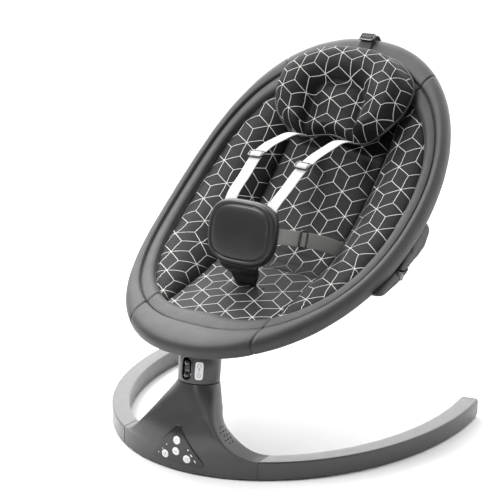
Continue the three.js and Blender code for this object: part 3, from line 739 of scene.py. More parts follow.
def settle(obj, voxel, pressure, cap, hold):
    """Remeshes a closed pad, inflates it as cloth, and keeps each point within cap millimetres.
    hold(points) gives 1 where the pad is sewn down."""
    bpy.context.view_layer.objects.active = obj
    obj.select_set(True)
    remesh = obj.modifiers.new("remesh", "REMESH")
    remesh.mode, remesh.voxel_size, remesh.use_smooth_shade = "VOXEL", voxel * MM, True
    bpy.ops.object.modifier_apply(modifier="remesh")
    before = points_of(obj)
    group = obj.vertex_groups.new(name="sewn")
    weights = np.clip(hold(before), 0, 1)
    for i in np.nonzero(weights > 0.02)[0]:
        group.add([int(i)], float(weights[i]), "REPLACE")
    cloth = obj.modifiers.new("cloth", "CLOTH")
    c = cloth.settings
    c.quality, c.mass = 5, 0.2
    c.tension_stiffness = c.compression_stiffness = 12
    c.shear_stiffness, c.bending_stiffness = 5, 0.6
    c.use_pressure, c.uniform_pressure_force = True, pressure
    c.effector_weights.gravity = 0
    c.vertex_group_mass = "sewn"
    cloth.collision_settings.use_collision = False
    scene = bpy.context.scene
    for number in range(1, 21):
        scene.frame_set(number)
        obj.evaluated_get(bpy.context.evaluated_depsgraph_get())
    bpy.ops.object.modifier_apply(modifier="cloth")
    scene.frame_set(1)
    moved = points_of(obj) - before
    length = np.linalg.norm(moved, axis=1)
    share = np.minimum(1, cap / np.maximum(length, 1e-9))
    set_points(obj, before + moved * share[:, None])
    smooth = obj.modifiers.new("smooth", "SMOOTH")
    smooth.factor, smooth.iterations = 0.5, 2
    bpy.ops.object.modifier_apply(modifier="smooth")
    subdivide = obj.modifiers.new("subdivide", "SUBSURF")
    subdivide.levels = subdivide.render_levels = 1
    bpy.ops.object.modifier_apply(modifier="subdivide")
    obj.select_set(False)
    obj.data.polygons.foreach_set("use_smooth", [True] * len(obj.data.polygons))
    return obj


def panel_grid(s_from, s_to, half, rows, cols, crown, end_round, front_tuck, rear_tuck):
    """Top and bottom of a flat seat panel between two curves across the seat."""
    q = np.linspace(-1, 1, cols)
    x = q * half
    v = np.linspace(0, 1, rows)[:, None]
    a, b = s_from(x)[None, :], s_to(x)[None, :]
    s = a + (b - a) * v
    xs = np.broadcast_to(x, s.shape)
    h = floor_height(s) + crown * (1 - (xs / half) ** 2) * np.sin(np.pi * np.clip(v, 0.02, 0.98)) ** 0.4
    side = np.clip((np.abs(xs) - (half - 10)) / 10, 0, 1)
    h = h - 7 * side**2
    from_front, from_rear = s - a, b - s
    if front_tuck:
        h = h - end_round * (1 - np.sqrt(1 - (1 - np.clip(from_front / 14, 0, 1)) ** 2))
    if rear_tuck:
        h = h - end_round * (1 - np.sqrt(1 - (1 - np.clip(from_rear / 14, 0, 1)) ** 2))
    h = h + soft_waves(s, xs, 0.9)
    low = np.minimum(h - 5, hollow(s, xs / 200) + 3)
    low = np.maximum(low, h - 22)
    return seat_point(s, xs, h), seat_point(s, xs, low), s, xs


def back_crease_shade(s, x):
    """Painted shade of the stitched fold round the back panel: the cloth darkens towards the crease with the seat
    and towards the bolsters.
    """
    low = 1 - smoothstep(s, CREASE + 4, CREASE + 34)
    return 0.8 * np.maximum(low, smoothstep(np.abs(x), 84, 99))


# Painted shade in the crease between each bolster and the middle panels.
def bolster_crease_shade(x):
    return 0.8 * (1 - smoothstep(np.abs(x), SPLIT_X - 2, SPLIT_X + 9))


def build_bottom_panel():
    top, low, s, x = panel_grid(lambda x: print_foot(x) - 9, lambda x: np.full_like(x, CREASE + 3), 104,
                                90, 70, 3.5, 9, True, True)
    made = slab("seat_panel", top, low, seat_cloth_painted_lit, np.stack([x, s, np.zeros_like(s)], -1))

    def hold(p):
        at, _ = seat_inverse(p)
        return np.maximum(smoothstep(np.abs(p[:, 0]), 90, 98),
                          np.maximum(smoothstep(at, CREASE - 8, CREASE), 1 - smoothstep(at, 105, 114)))

    return settle(made, 5, 4.0, 5, hold)


def build_back_panel():
    top, low, s, x = panel_grid(lambda x: np.full_like(x, CREASE - 6), lambda x: print_head(x) + 9, 104,
                                160, 70, 2.5, 8, True, True)
    made = slab("back_panel", top, low, print_cloth, np.stack([x, s, back_crease_shade(s, x)], -1))

    def hold(p):
        at, _ = seat_inverse(p)
        return np.maximum(smoothstep(np.abs(p[:, 0]), 90, 98),
                          np.maximum(1 - smoothstep(at, CREASE, CREASE + 8), smoothstep(at, 615, 628)))

    return settle(made, 5, 4.0, 4, hold)


BOLSTER_U = [0, 0.03, 0.08, 0.16, 0.3, 0.45, 0.6, 0.74, 0.86, 0.94, 1.0]
BOLSTER_F = [0.42, 0.3, 0.14, 0.03, 0.0, 0.05, 0.15, 0.33, 0.6, 0.88, 1.25]


def bolster_profile(u, width, drop):
    dense = spline(np.array([BOLSTER_U, BOLSTER_F], float).T, 300)
    f = np.interp(u, dense[:, 0], dense[:, 1])
    return -4.0 - (drop + 2) * f - 6.0 * (1 - smoothstep(width, 8, 70))


def build_bolster(side, word):
    s = np.linspace(108, 622, 190)
    outer = print_half(s) + 8
    keep = outer > SPLIT_X + 9
    s, outer = s[keep], outer[keep]
    u = np.linspace(0, 1, 46)
    su, uu = np.meshgrid(s, u, indexing="ij")
    wide = (outer - SPLIT_X)[:, None]
    x = outer[:, None] - uu * (wide + 4)
    drop = (-4 - floor_height(s))[:, None]
    h = bolster_profile(uu, wide, drop) + soft_waves(su, x * side, 1.1)
    low = np.maximum(np.minimum(h - 5, hollow(su, x / 200) + 3), h - 26)
    top, bottom = seat_point(su, x * side, h), seat_point(su, x * side, low)
    arc = np.concatenate([np.zeros((len(s), 1)),
                          np.cumsum(np.hypot(np.diff(x, axis=1), np.diff(h, axis=1)), 1)], axis=1)
    across = SPLIT_X + arc[:, -1:] - arc
    made = slab(f"bolster_{word}", top, bottom, bolster_cloth_painted_lit,
                np.stack([across * side, su, bolster_crease_shade(x)], -1))

    def hold(p):
        at = seat_inverse(p)[0]
        edge = np.interp(at, s, outer)
        return np.maximum(smoothstep(np.abs(p[:, 0]), edge - 16, edge - 8),
                          1 - smoothstep(np.abs(p[:, 0]), SPLIT_X - 2, SPLIT_X + 6))

    settle(made, 5.5, 4.0, 6, hold)
    p = points_of(made)
    at, height = seat_inverse(p)
    grid_u = np.clip((np.interp(at, s, outer) - np.abs(p[:, 0]))
                     / (np.interp(at, s, outer) - SPLIT_X + 4), 0, 1)
    row = np.interp(at, s, np.arange(len(s)))
    i = np.clip(row.astype(int), 0, len(s) - 1)
    col = np.clip(grid_u * (len(u) - 1), 0, len(u) - 1.001)
    j = col.astype(int)
    flat = across[i, j] + (across[i, j + 1] - across[i, j]) * (col - j)
    set_cloth(made, np.stack([flat * side, at, bolster_crease_shade(p[:, 0])], -1))
    return made


def flat_coords(obj, seam):
    """Cloth coordinates of a settled panel from where it lies; seam gives the darkening of its seams and its
    painted crease shade.
    """
    p = points_of(obj)
    at, _ = seat_inverse(p)
    set_cloth(obj, np.stack([p[:, 0], at, seam(at, p[:, 0])], -1))
    return obj


seat_panel = flat_coords(build_bottom_panel(), lambda s, x: np.zeros_like(s))
back_panel = flat_coords(build_back_panel(), back_crease_shade)
bolsters = [build_bolster(1, "left"), build_bolster(-1, "right")]
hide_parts("seat_pad")
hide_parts("back_pad")
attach(seat_panel, "seat_carrier")
across_hinge(back_panel)
for soft in bolsters:
    across_hinge(soft)

# ---------- head pillow ----------
PILLOW_S, PILLOW_HALF_S, PILLOW_HALF_X = 606.0, 88.0, 131.0


def pillow_edge(a):
    """Outline of the pillow in its own plane: x and length along the seat from its middle."""
    c, q = np.cos(a), np.sin(a)
    x = PILLOW_HALF_X * rounded(c, 2.6)
    low = smoothstep(-q, 0.0, 0.9)
    y = lerp(PILLOW_HALF_S, PILLOW_HALF_S + 6, low) * rounded(q, 2.4)
    x = x * (1 - 0.03 * low)
    y = y + 18 * low * bump(x, 42.0)
    y = y - 14 * (np.abs(x) / PILLOW_HALF_X) ** 2.4 * smoothstep(q, 0.0, 0.8)
    return x, y


def pillow_inside(x, y):
    """Below 1 in the middle pad, which is open towards the child's back, and above 1 in the roll round it."""
    box_x, box_y = np.abs(x) / 52, (y + 34) / 50
    return np.maximum(box_x**3.2 + np.maximum(box_y, 0) ** 3.2, 1e-6) ** (1 / 3.2)


def pillow_rise(x, y, edge):
    """Height of the pillow's face above its back; edge runs from 0 at the outline to 1 in the middle."""
    inside = pillow_inside(x, y)
    from_edge = edge * 100
    from_pad = np.maximum(inside - 1, 0) * 50
    roll = 2 * np.sqrt(from_edge * from_pad) / np.maximum(from_edge + from_pad, 1e-6)
    ring = 9 + 36 * roll**0.9
    middle = 9 + 18 * np.sqrt(np.clip(1 - inside**2.2, 0, 1))
    rise = np.where(inside > 1, ring, middle)
    return rise * np.sqrt(np.clip(1 - (1 - np.clip(from_edge / 16, 0, 1)) ** 2, 0, 1))


def pillow_base(s, x):
    return 2.0 - 14 * (1 - smoothstep(s, 540, 610)) * (1 - smoothstep(np.abs(x), 70, 125)) \
        + 5 * smoothstep(np.abs(x), 60, 120)


def pillow_cloth_at(x, y):
    """Cloth coordinates of the pillow's face: the cloth is longer than its outline towards the edge."""
    r = np.clip(np.hypot(x / PILLOW_HALF_X, (y + 4) / PILLOW_HALF_S), 0, 1.1)
    stretch = 1 + 0.2 * r**1.5
    return np.stack([x * stretch, (y + 4) * stretch, np.zeros_like(x)], -1)


def build_pillow():
    rings, around = 44, 220
    a = np.linspace(0, 2 * np.pi, around, endpoint=False)
    ex, ey = pillow_edge(a)
    face, under, face_flat, under_flat = [], [], [], []
    radii = np.cos(np.pi / 2 * np.arange(rings) / rings)
    for r in radii:
        x, y = ex * r, ey * r - 4 * (1 - r)
        s = PILLOW_S + y
        h = pillow_rise(x, y, np.full_like(x, 1 - r)) + pillow_base(s, x)
        h = h + soft_waves(s * 1.3, x * 1.4, 0.8) * min(1, (1 - r) * 4)
        face.append(seat_point(s, x, h))
        face_flat.append(pillow_cloth_at(x, y))
    for r in radii[:1:-3]:
        x, y = ex * r, ey * r - 4 * (1 - r)
        s = PILLOW_S + y
        under.append(seat_point(s, x, pillow_base(s, x) - 7 * (1 - r**6)))
        under_flat.append(pillow_cloth_at(x, y))
    return swept("pillow_cover", np.array(under + face), pillow_cloth, np.array(under_flat + face_flat))


pillow = build_pillow()


def settle_pillow():
    def hold(p):
        s, h = seat_inverse(p)
        x, y = p[:, 0], s - PILLOW_S
        low = h < pillow_base(s, x) + 3
        return np.maximum(bump(pillow_inside(x, y) - 1.0, 0.12), low * 1.0)

    settle(pillow, 3.4, 4.0, 5, hold)
    p = points_of(pillow)
    s, h = seat_inverse(p)
    set_cloth(pillow, pillow_cloth_at(p[:, 0], s - PILLOW_S))


settle_pillow()
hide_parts("head_pillow")
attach(pillow, "backrest")

edge_x, edge_y = pillow_edge(np.linspace(0, 2 * np.pi, 240, endpoint=False))
piping_path = seat_point(PILLOW_S + edge_y, edge_x, pillow_base(PILLOW_S + edge_y, edge_x) + 2.5)
pillow_piping = tube("pillow_piping", piping_path, 2.4, piping_leather, 10, closed=True)
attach(pillow_piping, "backrest")

# ---------- crotch pad ----------
PAD_CENTRE, PAD_TILT = np.array([0, -105 + SHIFT, 348.0]), np.radians(-14)
PAD_HALF, PAD_HIGH = 65.0, 54.0


def pad_world(p):
    """From the crotch pad's own frame, its face towards -Y, to the CAD frame."""
    c, q = np.cos(PAD_TILT), np.sin(PAD_TILT)
    return np.stack([p[..., 0], p[..., 1] * c - p[..., 2] * q, p[..., 1] * q + p[..., 2] * c], -1) + PAD_CENTRE


def pad_outline(a, grow):
    """Rounded square, a little narrower at the bottom."""
    x, z = (PAD_HALF - grow) * rounded(np.cos(a), 3.1), (PAD_HIGH - grow) * rounded(np.sin(a), 3.1)
    return x * (1 - 0.045 * np.clip(-z / PAD_HIGH, 0, 1)), z


def build_crotch_pad():
    a = np.linspace(0, 2 * np.pi, 200, endpoint=False)
    profile = [(9, 11.0), (5, 10.6), (2, 8.8), (0.6, 5.0), (0, 0), (0.5, -4.5), (1.8, -7.8),
               (4, -9.8), (6, -10.4), (7.8, -9.9), (8.9, -8.6), (10.2, -9.7), (12.5, -11.0),
               (17, -12.1), (25, -13.2), (35, -14.1), (50, -14.7)]
    profile = spline(np.array(profile, float), 90)
    rows = []
    for grow, y in profile:
        x, z = pad_outline(a, grow)
        rows.append(pad_world(np.stack([x, np.full_like(x, y), z], -1)))
    return swept("crotch_cushion", np.array(rows), pad_leather)


crotch_cushion = build_crotch_pad()
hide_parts("crotch_pad")
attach(crotch_cushion, "seat_carrier")

# The tongue that ties the pad down to the seat, with its turned end.
tongue_path = spline(np.concatenate([
    pad_world(np.array([[0, 2.0, -40.0], [0, 2.0, -54.0]])),
    seat_point([207, 205, 204, 203], 0, [-8, -18, -28, -40]),
]), 60)
tongue_taper = lerp(1.0, 0.5, smoothstep(np.linspace(0, 1, 60), 0.15, 0.9))
tongue = ribbon("crotch_tongue", tongue_path, (1, 0, 0), 74, 6.0, tongue_leather, edge=2.4, taper=tongue_taper)
fold_path = spline(seat_point([203, 202, 200, 198, 197], [8, 17, 25, 31, 34],
                              [-30.0, -33.0, -32.5, -30.0, -26.0]), 40)
tongue_fold = ribbon("tongue_fold", fold_path, (0, 1.0, 0.5), 16, 3.0, tongue_leather, edge=1.3)
tongue = joined("crotch_tongue", [tongue, tongue_fold])
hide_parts("crotch_strap")
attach(tongue, "seat_carrier")

# ---------- harness ----------
SHOULDER = [(512, 46, 8), (492, 46, 36), (468, 46, 55), (425, 45, 82),
            (385, 43, 95), (330, 40, 97), (290, 38, 97), (268, 36, 92)]


def strap_slide(name, centre, along, across, width=29, length=18, web=white_webbing):
    """Two-slot slide with the strap looped over its middle bar."""
    along, across = np.array(along, float), np.array(across, float)
    along /= np.linalg.norm(along)
    across -= (across @ along) * along
    across /= np.linalg.norm(across)
    normal = np.cross(across, along)
    if normal[2] < 0:
        normal = -normal

    def place(x, y, z):
        return centre + np.outer(x, across) + np.outer(y, along) + np.outer(z, normal)

    a = np.linspace(0, 2 * np.pi, 72, endpoint=False)
    x, y = (width / 2 - 1.6) * rounded(np.cos(a), 6), (length / 2 - 1.6) * rounded(np.sin(a), 6)
    frame_ring = tube(name, place(x, y, 2.8), 1.8, gloss, 10, closed=True)
    bar_x = np.linspace(-width / 2 + 1.5, width / 2 - 1.5, 12)
    bar = tube(name + "_bar", place(bar_x, 0, 1.9), 1.5, gloss, 10)
    v = np.linspace(-1, 1, 22)
    loop = place(0, v * (length / 2 - 2.6), 0.9 + 3.4 * (1 - v**2) ** 0.6)
    strip = ribbon(name + "_loop", loop, across, width - 8.5, 1.3, web)
    return joined(name, [frame_ring, bar, strip])


def shoulder_strap(side, word, lift):
    path = spline(seat_point([p[0] for p in SHOULDER], [side * p[1] for p in SHOULDER],
                             [p[2] * lift for p in SHOULDER]), 150)
    strap = ribbon(f"shoulder_web_{word}", path, (1, 0, 0), 21.5, 1.7, white_webbing)
    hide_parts(f"shoulder_strap_{word}")
    a, b = seat_point([362, 288], side * 40, 96 * lift) * MM
    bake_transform(strap)
    at = np.linalg.norm(path - seat_point(390, side * 43, 95 * lift), axis=1).argmin()
    slide = strap_slide(f"shoulder_slide_{word}", path[at] + np.array([0, -0.4, 1.0]),
                        path[at + 3] - path[at - 3], (1, 0, 0))
    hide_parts(f"shoulder_adjuster_{word}")
    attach(slide, "backrest")


shoulder_strap(1, "left", 0.87)
shoulder_strap(-1, "right", 1.0)

WAIST = [(26, -104, 350), (48, -101, 351), (66, -96, 350), (80, -62, 340),
         (94, -22, 326), (105, 4, 314), (110, 16, 307), (113, 26, 300)]


def waist_strap(side, word):
    path = spline([(side * x, y + SHIFT, z) for x, y, z in WAIST], 90)
    strap = ribbon(f"waist_web_{word}", path, (0, 0.3, 1), 25, 1.7, grey_webbing)
    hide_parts(f"waist_strap_{word}")
    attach(strap, "seat_carrier")
    at = np.linalg.norm(path - np.array([side * 83, -54 + SHIFT, 337.5]), axis=1).argmin()
    slide = strap_slide(f"waist_slide_{word}", path[at] + np.array([-side * 0.5, -0.8, 0.2]),
                        path[at + 3] - path[at - 3], (0, 0.3, 1), width=32, web=grey_webbing)
    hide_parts(f"waist_adjuster_{word}")
    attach(slide, "seat_carrier")


waist_strap(1, "left")
waist_strap(-1, "right")

over = spline(seat_point([676, 694, 710, 722, 730, 733.5, 732], 0, [8, 6.5, 7.2, 6.2, 2.0, -6, -16]), 60)
head_web = ribbon("head_web", over, (1, 0, 0), 25, 1.6, dark_webbing)
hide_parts("head_strap")
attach(head_web, "backrest")
near = seat_point(721, 0, 7.5)
head_slide = strap_slide("head_slide", near, seat_point(727, 0, 5) - seat_point(712, 0, 8),
                         (1, 0, 0), web=dark_webbing)
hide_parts("head_strap_slider")
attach(head_slide, "backrest")

# ---------- hinge covers ----------
HINGE_SLOPE = float(seat_angle(HINGE_S))
HINGE_AT = seat_point(HINGE_S, 0, -HINGE_DROP)


def hinge_cover(name, line, side, body, node):
    """Moulded cover of one half of the hinge: an outline in the hinge's plane with a rounded outer face."""
    middle = np.array([line[:, 0].mean(), -22.0])
    apart = np.abs(np.hypot(line[:, 0], line[:, 1]) - LOBE - LOBE_GAP / 2)
    free = smoothstep(apart, 0.6, 9.0)[:, None]
    c, q = np.cos(HINGE_SLOPE), np.sin(HINGE_SLOPE)
    rows = []
    for x, shrink in ((208.5, 6.0), (209.5, 2.0), (212, 0.6), (216, 0.0), (224, 0.0), (228, 0.5),
                      (231.5, 1.6), (234, 3.2), (235.6, 5.2), (236.6, 7.6), (237.0, 10.0), (237.1, 13.0)):
        inward = middle - line
        size = np.linalg.norm(inward, axis=1)[:, None]
        rounding = max(0.0, x - 233) * 0.45
        flat = line + inward / size * np.minimum(np.maximum(shrink * free, min(shrink, rounding)), size * 0.85)
        y, z = flat[:, 0] * c - flat[:, 1] * q, flat[:, 0] * q + flat[:, 1] * c
        rows.append(np.stack([np.full(len(flat), side * x), y + HINGE_AT[1], z + HINGE_AT[2]], -1))
    cover = swept(name, np.array(rows), bracket_paint)
    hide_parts(node)
    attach(cover, body)


def rounded_polygon(corners, radii, steps=10):
    """Outline of a polygon whose corners are rounded."""
    c = np.asarray(corners, float)
    count = len(c)
    radii = np.broadcast_to(radii, count)
    starts, ends = [], []
    for i in range(count):
        before, at, after = c[i - 1], c[i], c[(i + 1) % count]
        to_before = (before - at) / np.linalg.norm(before - at)
        to_after = (after - at) / np.linalg.norm(after - at)
        half = np.arccos(np.clip(to_before @ to_after, -1, 1)) / 2
        reach = min(radii[i] / np.tan(half), 0.45 * np.linalg.norm(before - at), 0.45 * np.linalg.norm(after - at))
        starts.append(at + to_before * reach)
        ends.append(at + to_after * reach)
    out = []
    for i in range(count):
        for t in np.linspace(0, 1, steps + 1):
            out.append((1 - t) ** 2 * starts[i] + 2 * t * (1 - t) * c[i] + t * t * ends[i])
        for t in np.linspace(0, 1, 12)[1:-1]:
            out.append(lerp(ends[i], starts[(i + 1) % count], t))
    return np.array(out)


LOBE, LOBE_GAP = 30.4, 0.9


def lobe(angles, radius):
    """Points round the hinge axis."""
    a = np.radians(angles)
    return list(zip(radius * np.cos(a), radius * np.sin(a)))


SWEEP = np.linspace(203, 262, 7)
FRONT_COVER = lobe(SWEEP, LOBE + LOBE_GAP) + [
    (-6, -36.5), (-22, -37), (-42, -34), (-66, -21), (-93, -9), (-97, 1), (-60, -5)]
FRONT_RADII = [1.2] + [60] * 5 + [1.2, 1.5, 12, 14, 18, 6, 5, 12]
REAR_COVER = lobe(SWEEP, LOBE) + [(4, -31), (11, -39), (32, -42), (60, -42), (86, -29), (84, -12), (66, -6)]
REAR_RADII = [1.2] + [60] * 5 + [1.2, 3, 4, 14, 18, 14, 10, 8]
for side, word in ((1, "left"), (-1, "right")):
    hinge_cover(f"hinge_cover_front_{word}", rounded_polygon(FRONT_COVER, FRONT_RADII), side, "seat_carrier",
                f"hinge_socket_{word}")
    hinge_cover(f"hinge_cover_rear_{word}", rounded_polygon(REAR_COVER, REAR_RADII), side, "backrest",
                f"hinge_knuckle_{word}")

# ---------- base ----------
RING_Y, RING_X, RING_LONG, RING_WIDE, RING_LOW, RING_TOP, RING_TIP = 87.0, 304.5, 384.6, 30.0, 2.0, 32.3, 13.0
PEDESTAL, NECK, NECK_Z = 132.0, 34.0, 134.3
POST_Y, POST_Z, LEAN = -231.0, 134.3, np.radians(7)


def band_y(x, across):
    outer = RING_Y - RING_LONG * np.sqrt(1 - (x / RING_X) ** 2)
    inner = RING_Y - (RING_LONG - RING_WIDE) * np.sqrt(1 - (x / (RING_X - RING_WIDE)) ** 2)
    return lerp(outer, inner, (across + 1) / 2)


def pedestal_level(z):
    """Half width, half depth, front line, depth of the flat front part and shape powers at a level."""
    u = np.clip((z - RING_TOP) / 102, 0, 1)
    half_x = NECK + (PEDESTAL - NECK) * np.maximum(1 - u**0.6, 0) ** 1.1
    half_y = RING_WIDE / 2 + 22.5 * u**0.42 * (1 - u) + (NECK - RING_WIDE / 2) * u**0.8
    front_y = RING_Y - RING_LONG + 32.6 * u**1.25
    face_y = lerp(np.minimum(18.0, half_y), half_y, smoothstep(u, 0.5, 1.0))
    front_power = 2 + 26 * (1 - u) ** 2.2 + 24 * (1 - u) ** 8
    rear_power = 2.1 + 48 * (1 - u) ** 8
    return half_x, half_y, front_y, face_y, np.minimum(1, u * 1.6), front_power, rear_power


def pedestal_point(z, share, face, inset=0.0):
    half_x, half_y, front_y, face_y, mixed, front_power, rear_power = pedestal_level(z)
    power = front_power if face < 0 else rear_power
    depth = np.maximum(1 - np.abs(share) ** power, 0.0) ** (1 / power)
    x = (half_x - inset) * share
    across = face * (1 - inset / half_y) * depth
    reach = face_y if face < 0 else 2 * half_y - face_y
    y = lerp(band_y(x, across), front_y + face_y + reach * across, mixed)
    tilt = np.tan(LEAN) * smoothstep(z, 85, NECK_Z)
    return np.stack(np.broadcast_arrays(x, y + SHIFT, z - (y - POST_Y) * tilt), -1)


def pedestal_front(x, z, lift=0.0):
    half_x = pedestal_level(z)[0]
    point = pedestal_point(z, x / half_x, -1)
    step = 0.5
    dx = pedestal_point(z, (x + step) / half_x, -1) - point
    dz = pedestal_point(z + step, x / pedestal_level(z + step)[0], -1) - point
    normal = np.cross(dx, dz)
    normal /= np.linalg.norm(normal, axis=-1)[..., None]
    return point + normal * lift, normal


def drilled(obj, cutters):
    """Cuts real holes and removes the tools."""
    tool = joined("cutter", cutters)
    cut = obj.modifiers.new("holes", "BOOLEAN")
    cut.operation, cut.object, cut.solver = "DIFFERENCE", tool, "EXACT"
    bpy.ops.object.select_all(action="DESELECT")
    bpy.context.view_layer.objects.active = obj
    obj.select_set(True)
    bpy.ops.object.modifier_apply(modifier="holes")
    bpy.data.objects.remove(tool)
    return obj


def smooth_by_angle(obj, degrees):
    """Smooth shading that breaks at sharper edges."""
    mesh = obj.data
    bm = bmesh.new()
    bm.from_mesh(mesh)
    limit = np.radians(degrees)
    for edge in bm.edges:
        edge.smooth = not (len(edge.link_faces) == 2 and edge.calc_face_angle(0) > limit)
    for face in bm.faces:
        face.smooth = True
    bm.to_mesh(mesh)
    bm.free()


def build_pedestal():
    z = np.concatenate([[2.0, 2.6, 3.6], np.linspace(6, 31.0, 9), [31.9], np.linspace(32.5, 60, 40),
                        np.linspace(60.8, 133.6, 70), [134.0]])
    half = 0.5 * (1 - np.cos(np.pi * np.linspace(0, 1, 90)))
    share = np.sin((2 * half - 1) * np.pi / 2)
    edge_in = np.where(z < 3.5, (3.6 - z) * 0.8, 0.0)
    edge_in[-1] = 0.6
    rings = []
    for level, inset in zip(z, edge_in):
        front = pedestal_point(level, share, -1, inset)
        rear = pedestal_point(level, share[::-1], 1, inset)[1:-1]
        rings.append(np.concatenate([front, rear]))
    return swept("pedestal_skin", np.array(rings), shell)


pedestal = build_pedestal()

# Speaker grille on the child's left flank of the pedestal.
grille = []
for row, (z, count) in enumerate([(79.5, 2), (73.5, 3), (68.0, 3), (62.8, 3), (58.0, 2)]):
    for k in range(count):
        centre = pedestal_point(z, np.array([1.0]), -1)[0]
        across = -6.0 + 7.0 * k + (4.0 if row % 2 == 0 else 0.0)
        grille.append(centre + np.array([0, across + 2, 0]))
cutters = []
for k, centre in enumerate(grille):
    path = centre + np.outer(np.linspace(-5, 7, 4), np.array([0.80, 0.0, 0.60]))
    cutters.append(tube(f"cut{k}", path, 1.45, shell, 14))
drilled(pedestal, cutters)
smooth_by_angle(pedestal, 32)
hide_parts("pedestal_front_shell", "pedestal_rear_shell")
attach(pedestal, "base")


def build_arm(side, word):
    t = np.radians(np.linspace(-66.5, RING_TIP - 0.6, 240))
    mid, half_h = (RING_LOW + RING_TOP) / 2, (RING_TOP - RING_LOW) / 2
    a = np.radians([0, 12, 35, 60, 85, 90])
    r = 2.2
    corner = np.array([[1, 1], [-1, 1], [-1, -1], [1, -1]], float)
    ring = []
    for k, (cx, cz) in enumerate(corner):
        for b in a:
            w = b + k * np.pi / 2
            ring.append((cx * (RING_WIDE / 2 - r) + r * np.cos(w), cz * (half_h - r) + r * np.sin(w)))
        nx, nz = corner[(k + 1) % 4]
        for q in (0.33, 0.66):
            end = k * np.pi / 2 + np.pi / 2
            p0 = np.array([cx * (RING_WIDE / 2 - r) + r * np.cos(end), cz * (half_h - r) + r * np.sin(end)])
            p1 = np.array([nx * (RING_WIDE / 2 - r) + r * np.cos(end), nz * (half_h - r) + r * np.sin(end)])
            ring.append(tuple(lerp(p0, p1, q)))
    ring = np.array(ring)
    inset = RING_WIDE / 2 - ring[:, 0]
    rings = []
    for angle in t:
        x = (RING_X - inset) * np.cos(angle)
        y = RING_Y + (RING_LONG - inset) * np.sin(angle)
        rings.append(np.stack([side * x, y + SHIFT, mid + ring[:, 1]], -1))
    rings = np.array(rings)
    rings[..., 0] = side * np.maximum(side * rings[..., 0], PEDESTAL + 0.35)
    first = np.nonzero((side * rings[..., 0]).min(1) > PEDESTAL + 0.36)[0][0]
    start = rings[first - 1].copy()
    for k in range(len(ring)):
        x = PEDESTAL + 0.35
        y_low = RING_Y - (RING_LONG - inset[k]) * np.sqrt(1 - (x / (RING_X - inset[k])) ** 2)
        start[k] = (side * x, y_low + SHIFT, mid + ring[k, 1])
    rings = np.concatenate([start[None], rings[first:]])
    arm = swept(f"arm_skin_{word}", rings, arm_paint)
    smooth_by_angle(arm, 40)
    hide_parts(f"base_arm_{word}")
    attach(arm, "base")


build_arm(1, "left")
build_arm(-1, "right")


def post_world(p):
    """From the frame of the leaning pivot axis to the CAD frame."""
    c, q = np.cos(-LEAN), np.sin(-LEAN)
    return np.stack([p[..., 0], p[..., 1] * c - p[..., 2] * q + POST_Y + SHIFT,
                     p[..., 1] * q + p[..., 2] * c + POST_Z], -1)


def build_collar():
    profile = [(30.4, 0.6), (33.0, 0.6), (33.7, 0.95), (34.0, 1.7), (34.1, 10), (34.2, 22),
               (34.4, 44.2), (34.0, 44.9), (33.2, 45.0), (30.4, 45.0), (30.4, 30), (30.4, 15)]
    a = np.linspace(0, 2 * np.pi, 160, endpoint=False)
    rings = np.array([np.stack([r * np.cos(a), r * np.sin(a), np.full_like(a, z)], -1) for r, z in profile])
    rings = rings.transpose(1, 0, 2)
    body = swept("collar_skin", post_world(rings), shell, closed=True)
    b = np.linspace(0, 2 * np.pi, 64, endpoint=False)
    x = 9.5 * np.cos(b)
    z = 9.5 * np.sin(b) + np.where(np.sin(b) >= 0, 9.5, -9.5)
    pinch = 1 - 0.16 * bump(z, 5.0)
    rings = np.array([post_world(np.stack([x * pinch - 2, np.full_like(x, y), z + 24], -1)) for y in (-45, -25)])
    return drilled(body, [swept("cut", rings, shell)])


collar = build_collar()
smooth_by_angle(collar, 32)
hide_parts("collar_shell")
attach(collar, "seat_carrier")


def build_bezel():
    """Thin dark lip round the slider's recess."""
    b = np.linspace(0, 2 * np.pi, 120, endpoint=False)
    x = 9.7 * np.cos(b)
    z = 9.7 * np.sin(b) + np.where(np.sin(b) >= 0, 9.5, -9.5)
    x = x * (1 - 0.16 * bump(z, 5.0)) - 2
    path = post_world(np.stack([x, -np.sqrt(34.35**2 - x**2), z + 24], -1))
    lip = tube("collar_bezel", path, 0.75, gloss, 8, closed=True)
    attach(lip, "seat_carrier")


build_bezel()


def build_slider():
    """Glossy two-domed slider in the recess, with two painted glints between its domes."""
    b = np.linspace(0, 2 * np.pi, 96, endpoint=False)
    parts = []
    rows = []
    for half, y in ((3.6, -30.2), (4.9, -30.3), (5.0, -31.6), (4.7, -32.1), (0.5, -32.2)):
        x = half * np.cos(b)
        z = half * np.sin(b) + np.where(np.sin(b) >= 0, 9.4, -9.4)
        rows.append(post_world(np.stack([x - 2, np.full_like(x, y), z + 23], -1)))
    parts.append(swept("slider", np.array(rows), dark))
    for z0 in (33, 13):
        rows = []
        for k in range(13):
            q = k / 13 * np.pi / 2
            r, y = 5.3 * np.cos(q), -31.2 - 4.4 * np.sin(q)
            rows.append(post_world(np.stack([r * np.cos(b) - 2, np.full_like(b, y), r * np.sin(b) + z0], -1)))
        parts.append(swept("dome", np.array(rows), gloss))
    # Two small white spots between the domes: painted glints on the glossy slider.
    for x0 in (-4.2, 0.2):
        x, z = 0.9 * np.cos(b), 0.5 * np.sin(b)
        rows = [post_world(np.stack([x + x0, np.full_like(x, y), z + 20.6], -1)) for y in (-32.0, -32.45)]
        parts.append(swept("painted_glint", np.array(rows), key_paint))
    slider = joined("slider_domes", parts)
    smooth_by_angle(slider, 35)
    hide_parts("lock_slider")
    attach(slider, "lock_slider")


build_slider()


def on_collar(u, z, lift):
    """A point on the collar's face: u millimetres round it from the front, z up it."""
    a = u / 34.2
    return post_world(np.stack(np.broadcast_arrays((34.3 + lift) * np.sin(a), -(34.3 + lift) * np.cos(a), z), -1))


